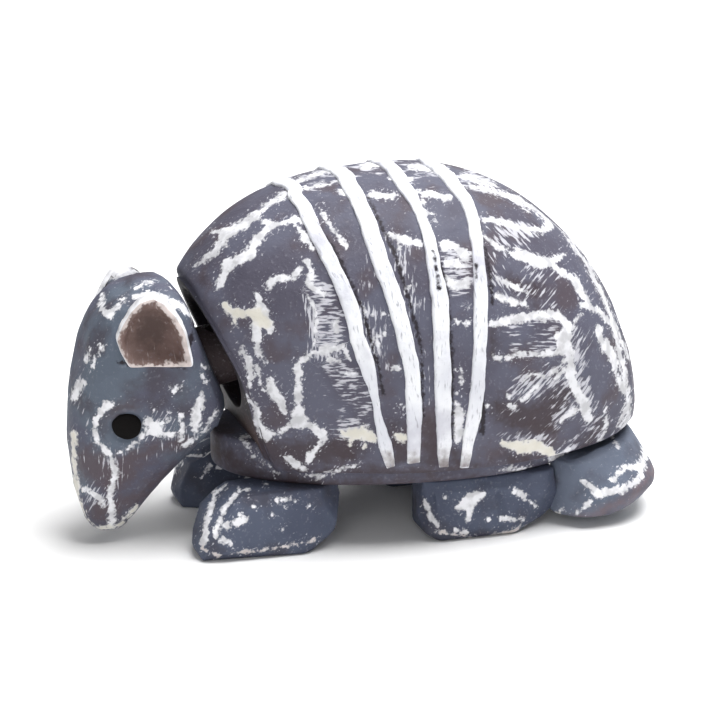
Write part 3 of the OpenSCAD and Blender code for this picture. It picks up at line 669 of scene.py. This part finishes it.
levels = np.concatenate([[2.4, 2.4, 2.41, 2.5, 2.7], np.linspace(3, 46.6, 150),
                         [46.9, 47.1, 47.2, 47.2]])
closing = np.concatenate([[0.3, 0.6, 0.85, 0.94, 0.98], np.ones(len(levels) - 7), [0.7, 0.3]])
head_rings = []
for z, close in zip(levels, closing):
    front, back, broad = (np.mean([np.interp(z + d, head_slices[:, 0], head_slices[:, c])
                                   for d in (-0.9, 0, 0.9)]) for c in (1, 2, 3))
    bulge = np.sign(np.cos(turn)) * np.abs(np.cos(turn)) ** bend
    x = (front + back) / 2 + close * (back - front) / 2 * bulge
    y = close * head_half_w * broad * np.sign(np.sin(turn)) * np.abs(np.sin(turn)) ** bend
    head_rings.append(np.stack([x, y, np.full_like(x, z)], -1))
grid = np.array(head_rings)
along, around = np.gradient(grid, axis=0), np.roll(grid, -1, 1) - np.roll(grid, 1, 1)
out = np.cross(around, along)
out /= np.maximum(np.linalg.norm(out, axis=-1, keepdims=True), 1e-9)
out *= np.sign(((grid - head_middle) * out).sum(-1, keepdims=True) + 1e-9)
grid = knife_cuts(grid, out, 150, (0.08, 0.35))
from_eye = np.hypot(grid[..., 0] - eye_x, grid[..., 2] - eye_z)
raised = socket_rim * np.exp(-((from_eye - 3.5) / 0.5) ** 2)
socket = socket_deep * soft_step(from_eye, 3.3, 2.4) - raised
grid -= out * (socket * (np.abs(grid[..., 1]) > 4))[..., None]
head = closed_loft(grid, "carved_head")

neck_slope, neck_root, pocket_x, pocket_r = math.radians(10.4), np.array([-36, 0, 30.4]), -25.1, 3.4
neck_run = np.array([math.cos(neck_slope), 0, math.sin(neck_slope)])
neck_up = np.array([-math.sin(neck_slope), 0, math.cos(neck_slope)])
neck_rings = []
for along_it, radius in ((-2, 3), (-2, 5.5), (2, 5.5), (6, 5.45), (10, 5.5), (14, 5.4), (18, 5.5),
                         (22, 5.45), (22.5, 5.3), (22.7, 4.9), (22.7, 2.5)):
    neck_rings.append([neck_root + neck_run * along_it
                       + radius * (neck_up * math.cos(a) + np.array([0, math.sin(a), 0]))
                       for a in np.linspace(0, 2 * math.pi, 96, endpoint=False)])
neck = closed_loft(np.array(neck_rings), "neck")
pocket_ring = np.stack([pocket_x + pocket_r * np.cos(turn[::4]), pocket_r * np.sin(turn[::4])], -1)
pocket = closed_loft([np.column_stack([pocket_ring, np.full(60, z)]) for z in (33.85, 50)], "pocket")
drill = neck.modifiers.new("drill", "BOOLEAN")
drill.operation, drill.solver, drill.object = "DIFFERENCE", "EXACT", pocket
modifiers_made_solid(neck, smooth=False)
bpy.data.objects.remove(pocket)

head_white = [
    [(-40.2, 12.9, .5), (-38.4, 13.6, .8), (-36.6, 14, .4)], [(-34, 13.7, .5), (-32.6, 12.9, .8)],
    [(-45.8, 11.6, .5), (-46.2, 9.4, 1), (-44.9, 8, 1.2), (-43.5, 9.4, .8), (-42.2, 11, .8)],
    [(-40.2, 11.2, .8), (-37.5, 11.9, 1), (-35.7, 11.6, .8), (-34.2, 10.6, 1.2), (-32.1, 9.8, 1.2),
     (-30.1, 8, 1.1), (-28.3, 6.3, .9), (-27.4, 5.5, 1), (-28.3, 4.6, .6)],
    [(-46, 2.5, .8), (-48, -1.3, .5)], [(-48.2, 1.8, .8), (-49, 0, .6)], [(-49.6, -4, 1.4), (-51, -6.5, 1.2)],
    [(-27.7, -1.3, .9)], [(-28, -2.9, .8)], [(-27.5, -4, .5)],
    [(-34.2, -4.5, .5), (-33.3, -5.8, .8), (-32, -4.7, .4)],
    [(-44, -7.8, .6), (-45.3, -8.3, 1.4), (-46.7, -9.6, 1.1), (-47.4, -12, .8), (-47, -14.3, .8),
     (-44.6, -17, .9), (-43.6, -20.3, 1), (-44.6, -24, 1), (-44.2, -29.5, 1.3)],
    [(-39.3, -14.3, .5), (-37.5, -11, .6)], [(-38, -11, 1.4), (-36, -12.3, 2.2), (-37.6, -13, 1.2)],
    [(-34.6, -9.4, .8), (-34.2, -10.7, .8)], [(-32, -9.8, .6), (-31.9, -14, .8)], [(-33.9, -13.4, 1.4)],
    [(-28.3, -6.7, 1.4), (-29.2, -10.3, 1.8), (-29.5, -12.5, 1)],
    [(-25.7, -9.2, .5), (-27.9, -12.9, .6), (-31.3, -15.2, .6)],
    [(-43.1, -16.7, .4), (-41.3, -15.8, .5), (-39.7, -14.5, .4)], [(-36.8, -8.8, .7)],
    [(-46.3, 15, 1), (-44, 15.2, 1.6)], [(-49, -23, 1), (-46.5, -24.5, 1.2), (-45.6, -26, .8)]]
head_brown = [
    [(-49, -18, 5), (-44, -21, 6), (-41, -18, 4), (-36, -15.8, 2.4), (-30, -14.4, 1.2)],
    [(-46.5, -27, 4), (-40, -24.5, 2.5), (-34, -19.5, 1.5)],
    [(-44.5, -9.6, .8), (-43, -8.3, .7), (-40.5, -8.3, .7)]]
# Painted shadow under and just behind the near ear, where it meets the head.
head_shadow_strokes = [[(-43.2, -.4, .4), (-41, -.7, .8), (-37, -.6, .7), (-33, -1, .7), (-31, -1.6, .3)],
             [(-30.8, 1, .6), (-30, 4.5, .9)]]
head_streaks = [(90, .36, [(-48, -17, 3), (-44, -20, 4), (-40, -17, 3)]),
                (60, .5, [(-48, -24, 3), (-45.6, -25.5, 2.5)]),
                (90, .5, [(-36, -16, 2), (-31, -14.5, 2)]), (60, .5, [(-36.5, -12, 4)]),
                (70, .45, [(-50, -4, 2), (-51, -10, 2)])]
head_cream = [[(-51.2, -13, .9), (-51, -19, .9), (-50.4, -25, .9), (-48.6, -29.6, .9), (-45.8, -30.4, .8),
               (-42.9, -29.4, .8), (-39.9, -26.2, .7)]]
for piece in (head, neck):
    brush_on(piece, white=head_white + head_cream, brown=head_brown, dark=head_shadow_strokes, cream=head_cream,
             streaks=head_streaks)
    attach(piece, "head")
    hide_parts("head")
head_paint = carved_paint("head_paint", (0.080, 0.081, 0.118), (0.098, 0.120, 0.158),
                          brown=(0.085, 0.062, 0.070), warm=(0.055, 0.046, 0.060))
head.data.materials.append(head_paint)
# The neck is painted near-black, as painted shade in the gap behind the head.
neck.data.materials.clear()
neck.data.materials.append(shaded_neck_paint)


# ---- Ears ----
# Two small carved scoops, each glued in the head with a tenon. The rim is worn pale, and the
# hollow is left as brown wood.
ear_shape = np.array([(-4.9, 1), (-6, 4), (-6.4, 6.6), (-5.2, 8.8), (-3.3, 11.2), (-1.2, 13), (1.2, 13.4),
                      (3, 11.9), (4.4, 9.8), (5.3, 7.6), (5.8, 5.6), (5.9, 3), (6.1, -.6), (2.4, -.1),
                      (-1.4, .7)])
corners = np.arange(len(ear_shape) + 1)
turn = np.linspace(0, len(ear_shape), 150, endpoint=False)
outline = np.stack([np.interp(turn, corners, np.append(side, side[0])) for side in ear_shape.T], -1)
for _ in range(3):
    outline = (np.roll(outline, 1, 0) + outline * 2 + np.roll(outline, -1, 0)) / 4
ear_middle = np.array([-0.2, 5.6])


def turned(degrees, axis):
    c, s = math.cos(math.radians(degrees)), math.sin(math.radians(degrees))
    a, b = [k for k in range(3) if k != axis]
    matrix = np.eye(3)
    matrix[a, a], matrix[b, b] = c, c
    matrix[a, b], matrix[b, a] = (-s, s) if axis != 1 else (s, -s)
    return matrix


ear_turn = turned(-14, 2) @ turned(-8, 1) @ turned(4, 0) @ turned(90, 0)
ear_back = [(0.1, 0.3), (0.5, 0.1), (0.85, 0.1), (0.95, 0.35), (1, 0.9), (1, 1.8), (0.99, 2.7)]
ear_front = [(0.96, 3.2), (0.92, 3.4), (0.86, 3.45), (0.8, 3.3), (0.76, 2.9), (0.71, 2.3), (0.62, 1.8),
             (0.5, 1.45), (0.35, 1.2), (0.2, 1.1), (0.1, 1.05)]
ear_hollow_paint = carved_paint("ear_hollow_paint", (0.120, 0.074, 0.066), (0.180, 0.122, 0.110),
                                white=(0.60, 0.53, 0.51), brown=(0.050, 0.030, 0.026),
                                warm=(0.130, 0.080, 0.070), fleck=(0.40, 0.33, 0.32))
for name, foot_of, side in (("left", (-39.6, -11.8, 35.4), 1), ("right", (-37.8, -11.8, 32.6), -1)):
    rings = []
    for scale, lift in ear_back + ear_front:
        flat = ear_middle + (outline - ear_middle) * scale
        wave = 0.12 * np.sin(turn * 2.1 + lift * 3) * (scale > 0.6)
        place = np.column_stack([flat, np.full(len(flat), lift) + wave]) @ ear_turn.T + foot_of
        rings.append(place * [1, side, 1])
    ear = closed_loft(np.array(rings), name + "_scooped_ear", inner_from=len(ear_back))
    local = np.array([v.co for v in ear.data.vertices]) * 1000 * [1, side, 1] - foot_of
    local = local @ ear_turn
    off = np.array([min(np.linalg.norm(outline - p[:2], axis=1)) for p in local])
    hollow = local[:, 2] > 0.9
    rim = off - np.interp(local[:, 0], [-6, -2, 2, 6], [0.45, 0.7, 0.95, 1.1])
    tip = 3.2 - 0.6 * (local[:, 1] - 6)
    deep = np.hypot((local[:, 0] + 0.2) / 3.0, (local[:, 1] - 7.2) / 3.8) - 1
    brush_on(ear)
    # In the hollow, the brown stroke darkens the wood towards the middle of the scoop as painted shade.
    for kind, gap in (("white", np.where(hollow, rim, tip)), ("brown", 2.6 * deep),
                      ("dark", np.where(hollow, 5.0, off - 0.15))):
        ear.data.attributes[kind].data.foreach_set("value", gap)
    lines = np.stack([local[:, 1], local[:, 0] * 0.8, 0.12 * hollow + 0.02], -1)
    ear.data.attributes["streak"].data.foreach_set("vector", lines.ravel())
    ear.data.materials.append(head_paint)
    ear.data.materials.append(ear_hollow_paint)
    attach(ear, "head")
    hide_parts(name + "_ear")


# ---- Eyes ----
# A shallow drilled hole on each side of the head, filled with a black painted plug that stands
# a little proud of the wood.
def plain_finish(name, colour, second, scale, metal, rough, shine=0.5, detail=4):
    """Two shades mixed by a grain that is stretched by scale."""
    finish = bpy.data.materials.new(name)
    finish.use_nodes = True
    tree = finish.node_tree
    shader = tree.nodes["Principled BSDF"]
    place, grain = tree.nodes.new("ShaderNodeTexCoord"), tree.nodes.new("ShaderNodeTexNoise")
    stretch, mix = tree.nodes.new("ShaderNodeMapping"), tree.nodes.new("ShaderNodeMix")
    mix.data_type = "RGBA"
    stretch.inputs["Scale"].default_value = scale
    grain.inputs["Detail"].default_value = detail
    mix.inputs[6].default_value, mix.inputs[7].default_value = (*colour, 1), (*second, 1)
    for source, target in ((place.outputs["Object"], stretch.inputs[0]),
                           (stretch.outputs[0], grain.inputs["Vector"]),
                           (grain.outputs["Fac"], mix.inputs[0]),
                           (mix.outputs[2], shader.inputs["Base Color"])):
        tree.links.new(source, target)
    shader.inputs["Metallic"].default_value, shader.inputs["Roughness"].default_value = metal, rough
    shader.inputs["Specular IOR Level"].default_value = shine
    return finish


eye_paint = plain_finish("eye_paint", (0.0012, 0.001, 0.001), (0.005, 0.004, 0.004), (140, 140, 140),
                         0.0, 0.8, shine=0.12, detail=2)
head_surface = surface_of(head)
turn = np.linspace(0, 2 * math.pi, 72, endpoint=False)
for name, side in (("left", -1), ("right", 1)):
    beside = Vector((eye_x, side * 20, eye_z)) / 1000
    hit, normal = head_surface.ray_cast(beside, Vector((0, -side, 0)))[:2]
    across = normal.cross(Vector((0, 0, 1))).normalized()
    above = across.cross(normal)
    rings = []
    for radius, lift in ((0.3, -2.4), (0.97, -2.4), (1, -2.2), (1, 0.1), (0.97, 0.32), (0.85, 0.48),
                         (0.6, 0.62), (0.3, 0.7), (0.1, 0.72)):
        ripple = eye_r * radius * (1 + 0.015 * np.sin(3 * turn + 1) + 0.01 * np.sin(7 * turn))
        rings.append(np.array(hit) * 1000 + np.array(normal) * lift
                     + np.outer(ripple * np.cos(turn) * 1.04, across)
                     + np.outer(ripple * np.sin(turn), above))
    eye = closed_loft(np.array(rings), name + "_painted_eye")
    eye.data.materials.append(eye_paint)
    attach(eye, "head")
    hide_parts(name + "_eye")


# ---- Feet ----
# Four stubs sawn from scrap and cut to shape with a few flat strokes, each with two toe cuts
# and a dowel up into the belly.
front_side = [(-34.4, 2.2), (-33.4, 0), (-14, 0), (-9.6, 3.5), (-7.6, 9), (-8, 11.5), (-27, 11.5), (-32, 8.4)]
front_plan = [(-34.4, -15.6), (-33.4, -18), (-30, -19.2), (-14, -19.2), (-9, -17.4), (-7.6, -14), (-9, -9.4),
              (-16, -8), (-29, -8.4), (-33.6, -10.6), (-34.4, -13)]
rear_side = [(5.6, 5), (6.6, 1.6), (9, 0), (22.6, 0), (29, 1.6), (32, 3.6), (32, 6), (30.6, 11.5),
             (6.4, 11.5)]
rear_plan = [(5.6, -17), (7, -19.8), (10, -21), (22, -21), (29, -20), (32, -17.6), (31, -13), (27, -11),
             (22, -9.6), (10, -9.6), (6.4, -12)]


def knife_block(name, side_outline, plan, cuts, size):
    """A stub between its side and plan outlines, with extra flat cuts, softened at its edges."""
    low_x, high_x = min(p[0] for p in plan), max(p[0] for p in plan)
    low_y, high_y = min(p[1] for p in plan), max(p[1] for p in plan)
    solid = bmesh.new()
    bmesh.ops.create_cube(solid, size=1)
    for v in solid.verts:
        v.co = Vector((low_x if v.co.x < 0 else high_x, low_y if v.co.y < 0 else high_y,
                       0 if v.co.z < 0 else size))
    middle = Vector(((low_x + high_x) / 2, (low_y + high_y) / 2, size / 2))
    planes = []
    for (x0, z0), (x1, z1) in zip(side_outline, side_outline[1:] + side_outline[:1]):
        planes.append((Vector((x0, 0, z0)), Vector((z1 - z0, 0, x0 - x1))))
    for (x0, y0), (x1, y1) in zip(plan, plan[1:] + plan[:1]):
        planes.append((Vector((x0, y0, 0)), Vector((y1 - y0, x0 - x1, 0))))
    planes += [(Vector(p), Vector(n)) for p, n in cuts]
    for at, normal in planes:
        normal = normal.normalized()
        if (middle - at).dot(normal) > 0:
            normal = -normal
        everything = solid.verts[:] + solid.edges[:] + solid.faces[:]
        made = bmesh.ops.bisect_plane(solid, geom=everything, dist=1e-4, plane_co=at, plane_no=normal,
                                      clear_outer=True)
        rim = [g for g in made["geom_cut"] if isinstance(g, bmesh.types.BMEdge)]
        if rim:
            bmesh.ops.contextual_create(solid, geom=rim)
    bmesh.ops.recalc_face_normals(solid, faces=solid.faces)
    for v in solid.verts:
        v.co /= 1000
    mesh = bpy.data.meshes.new(name)
    solid.to_mesh(mesh)
    solid.free()
    piece = bpy.data.objects.new(name, mesh)
    scene.collection.objects.link(piece)
    edge = {"width": 0.0007, "segments": 3, "limit_method": "ANGLE", "angle_limit": 0.2}
    for kind, values in (("BEVEL", edge), ("REMESH", {"mode": "VOXEL", "voxel_size": 0.00032}),
                         ("SMOOTH", {"factor": 0.5, "iterations": 3})):
        step = piece.modifiers.new(kind, kind)
        for key, value in values.items():
            setattr(step, key, value)
    modifiers_made_solid(piece)
    return piece


def press_in(piece, strokes, deep):
    """Presses cuts into a piece along strokes, on its outer side."""
    points, normals = points_of(piece.data)
    shown = soft_step(normals @ sight_back, 0.0, 0.2)
    gap = from_strokes(seen(points), strokes, 2.0)
    points -= normals * (deep * shown * soft_step(gap, 0.5, -0.1))[:, None]
    piece.data.vertices.foreach_set("co", points.ravel() / 1000)
    piece.data.update()


front_cuts = [((-34.4, -15, 4), (-1, -0.5, 0.1)), ((-29, -19.2, 2.2), (-0.1, -1, -0.9)),
              ((-12, -18.4, 2.4), (0.6, -1, -0.8)), ((-20, -19.2, 9), (0, -1, 0.55)),
              ((-31, -18, 7.4), (-0.8, -0.8, 0.7)), ((-10, -17, 8), (0.7, -0.7, 0.3))]
rear_cuts = [((7, -20, 2.4), (-0.5, -1, -0.7)), ((16, -21, 2), (0, -1, -0.7)),
             ((26, -19.6, 3), (0.6, -1, -0.5)), ((16, -21, 9.4), (0, -1, 0.4)),
             ((7, -19.5, 8), (-0.7, -1, 0.2))]
toe_deep = 0.5
front_toes = [[(-23.9, -22.5, .5), (-26, -24, .6), (-26.8, -27.3, .4)],
              [(-21.5, -23.4, .5), (-23.5, -25.6, .6), (-25, -28, .6), (-25.8, -30.3, .4)]]
front_white = [
    [(-23.9, -22.5, .5), (-26, -24, .9), (-26.8, -27.3, 1)], [(-27.2, -28, 1), (-28, -32.6, 1.1)],
    [(-21.5, -23.4, .5), (-23.5, -25.6, .7), (-25, -28, 1), (-25.8, -31.3, .9)], [(-23.6, -29.6, 1.3)],
    [(-22.3, -29, 1.6), (-20.4, -28.6, 1)], [(-21.4, -27.6, .7)], [(-14.6, -25.2, .8), (-12.4, -24.8, .6)],
    [(-24.6, -32.2, 1), (-23, -32.8, .7)],
    [(-13.8, -30, .6)], [(-9, -26, .6)], [(-20, -23.2, .7)], [(-17, -22.5, .6)], [(-11.6, -25.2, .6)],
    [(-13.1, -25.9, .7)], [(-15.7, -27.8, .5)], [(-19, -26.2, .6)], [(-32.4, -22, .7), (-31.2, -20, .6)],
    [(-29.5, -20.5, .8), (-28, -18, .6)]]
front_sole = [[(-28, -33.8, .5), (-25.4, -34.9, .4)], [(-23, -34.5, .4), (-17.8, -34, .3), (-8, -32.2, .3)]]
rear_toes = [[(12.8, -24.5, .5), (13.2, -28, .4)], [(24.8, -24, .5), (25.8, -28.6, .4)]]
rear_white = [[(17.8, -26.4, 1.4), (19.8, -25, 2.8), (21.8, -24, 1)], [(19.8, -25, 2), (19.3, -28.4, .8)],
              [(11.6, -25, .6), (12.6, -27.8, 1), (13.8, -29.6, .8)], [(27.8, -23.4, 1.2), (29.4, -24.4, .8)],
              [(25.4, -28.4, .7), (29, -28.4, .6)], [(17, -30.4, .9), (19, -30.9, .7)],
              [(22.9, -28.6, .6)], [(15.3, -24.4, .5)], [(29.4, -24.6, .6), (31.2, -26, .4)]]
rear_sole = [[(13.4, -30.6, .3), (21.4, -32, .5), (27.7, -30.4, .3), (33, -28, .3)]]
limb_paint = carved_paint("limb_paint", (0.076, 0.090, 0.134), (0.058, 0.068, 0.106),
                          cream=(0.50, 0.42, 0.38), warm=(0.050, 0.048, 0.066))
front_kind = front_side, front_plan, front_cuts, front_toes, front_white, front_sole
rear_kind = rear_side, rear_plan, rear_cuts, rear_toes, rear_white, rear_sole
for name, kind, side, shift in (("front_left", front_kind, 1, 0), ("front_right", front_kind, -1, 3.4),
                                ("rear_left", rear_kind, 1, 0), ("rear_right", rear_kind, -1, 0)):
    side_outline, plan, cuts, toes, white, sole = kind
    foot = knife_block(name + "_carved_foot", side_outline, plan, cuts, belly_z)
    press_in(foot, toes, toe_deep)
    brush_on(foot, white=white + sole, cream=sole)
    if side < 0:
        for v in foot.data.vertices:
            v.co = (v.co.x + shift / 1000, -v.co.y, v.co.z)
        foot.data.flip_normals()
    foot.data.materials.append(limb_paint)
    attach(foot, "body")
    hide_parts(name + "_foot")


# ---- Tail ----
# A flat bar that comes out under the back rim and lies forward round the left side, cut with a
# long outer slope and a bevel below it.
tail_degrees, tail_square = np.linspace(16, -60, 170), 0.56
outer_l, outer_w, inner_l, inner_w = 39.8, 25.4, 31.2, 18.5
tip_outer, tip_inner = np.array([35.2, -22.6]), np.array([31.0, -17.5])
tail_turn = np.radians(tail_degrees)
outer = np.stack([plan_x + outer_l * np.abs(np.cos(tail_turn)) ** tail_square,
                  outer_w * np.sign(tail_turn) * np.abs(np.sin(tail_turn)) ** tail_square], -1)
inner = np.stack([plan_x + inner_l * np.cos(tail_turn), inner_w * np.sin(tail_turn)], -1)
inner[:, 1] = np.where(tail_turn > 0, 0.85 * inner[:, 1], inner[:, 1])
root_run = soft_step(tail_degrees, 1, 16)[:, None]    # the root goes in under the rim
outer = outer + (inner - outer) * root_run * 0.6
tip_run = soft_step(tail_degrees, -50, -60)[:, None]  # the free end draws in to the rear foot
outer = outer + (tip_outer - outer) * tip_run * 0.85
inner = inner + (tip_inner - inner) * tip_run * 0.6
tail_rings = []
last = len(outer) - 1
for k, (o, n) in enumerate(zip(outer, inner)):
    under = np.interp(o[0], [26, 32, 36, 42, 56], [5.2, 3.6, 2.2, 2.0, 4.4])
    top = np.interp(n[0], [29, 31, 40, 43], [11, 12.4, 12.6, 13.6])
    tucked = np.interp(k, [10, 40, 140, 160], [top, 13.5, 13.5, top])
    section = [(0, under + 0.6), (0, top - 0.6), (0.12, top), (0.34, top), (0.44, tucked),
               (0.62, tucked - 0.2), (0.95, 8), (1, 6.8), (0.99, 5.6), (0.86, under + 0.25), (0.7, under),
               (0.12, under)]
    end, middle = min(1, 0.15 + k / 14, 0.35 + (last - k) / 12), (under + top) / 2
    dense = []
    for (f0, z0), (f1, z1) in zip(section, section[1:] + section[:1]):
        for s in np.linspace(0, 1, 9)[:-1]:
            f, z = 0.5 + (f0 + (f1 - f0) * s - 0.5) * end, z0 + (z1 - z0) * s
            dense.append((*(n + (o - n) * f), middle + (z - middle) * min(1, end + 0.15)))
    dense = np.array(dense)
    for _ in range(2):                                # softens the section's corners
        dense = (np.roll(dense, 1, 0) + 2 * dense + np.roll(dense, -1, 0)) / 4
    tail_rings.append(dense)
tail = closed_loft(np.array(tail_rings), "carved_tail")
tail_white = [
    [(48.5, -9.4, .8), (50.2, -11.7, 1.2), (51, -14.5, 1.3), (51, -17.2, 1.2), (50, -19.2, 1.8)],
    [(49, -19, 1), (46.7, -19.4, .9), (45.1, -21.5, .8)],
    [(50.4, -20.8, .8), (47.6, -22.8, 1), (45.5, -23.4, 1.2), (42.4, -23.9, 1.6), (41.1, -22.7, 1),
     (39.8, -21.7, .5)],
    [(41.3, -25.2, .6), (38.7, -27.4, .6)], [(36, -26.8, .7)], [(44.5, -12.8, .4), (46, -15.5, .4)]]
tail_brown = [[(52.6, -15, 1), (52.4, -20, 1.4), (48, -25, 1.2), (41, -28, 1.2), (36, -28.4, 1)]]
tail_cream = [[(32, -26, .5), (34, -27.3, .8), (37.5, -28.4, .7)], [(50.8, -10, .5), (52.4, -15, .5)]]
tail_plates = [(51, -15, 9), (53, -9, 5), (52, -5, 10), (53, -1, 5), (51, 4, 10), (48, 9, 5)]
brush_on(tail, white=tail_white + tail_cream, brown=tail_brown, cream=tail_cream,
         net=lambda points: plate_net(points, tail_plates))
tail_paint = carved_paint("tail_paint", (0.105, 0.124, 0.170), (0.125, 0.145, 0.195),
                          brown=(0.15, 0.105, 0.115), warm=(0.070, 0.074, 0.100))
tail.data.materials.append(tail_paint)
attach(tail, "body")
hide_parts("tail")


# ---- Dowels, wires and counterweight ----
# Birch dowels hold the feet and the tail. The head hangs on a soft iron wire pin, link and
# screw eye, and a cast slug nailed to the neck's end keeps it level.
birch = plain_finish("birch_dowel", (0.56, 0.40, 0.24), (0.40, 0.26, 0.14), (160, 160, 25), 0.0, 0.65)
soft_iron = plain_finish("soft_iron_wire", (0.42, 0.41, 0.40), (0.20, 0.17, 0.15), (160, 160, 160), 1.0, 0.42)
cast_iron = plain_finish("cast_slug", (0.075, 0.072, 0.072), (0.14, 0.10, 0.08), (120, 120, 120), 0.6, 0.6)
for finish, nodes in ((birch, ("foot_pegs", "tail_peg")), (cast_iron, ("counterweight",)),
                      (soft_iron, ("pivot_pin", "hanger_link", "neck_eye", "counterweight_nail"))):
    for node in nodes:
        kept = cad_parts[node]
        if kept.material_slots:
            for material_slot in kept.material_slots:
                material_slot.material = finish
        else:
            kept.data.materials.append(finish)
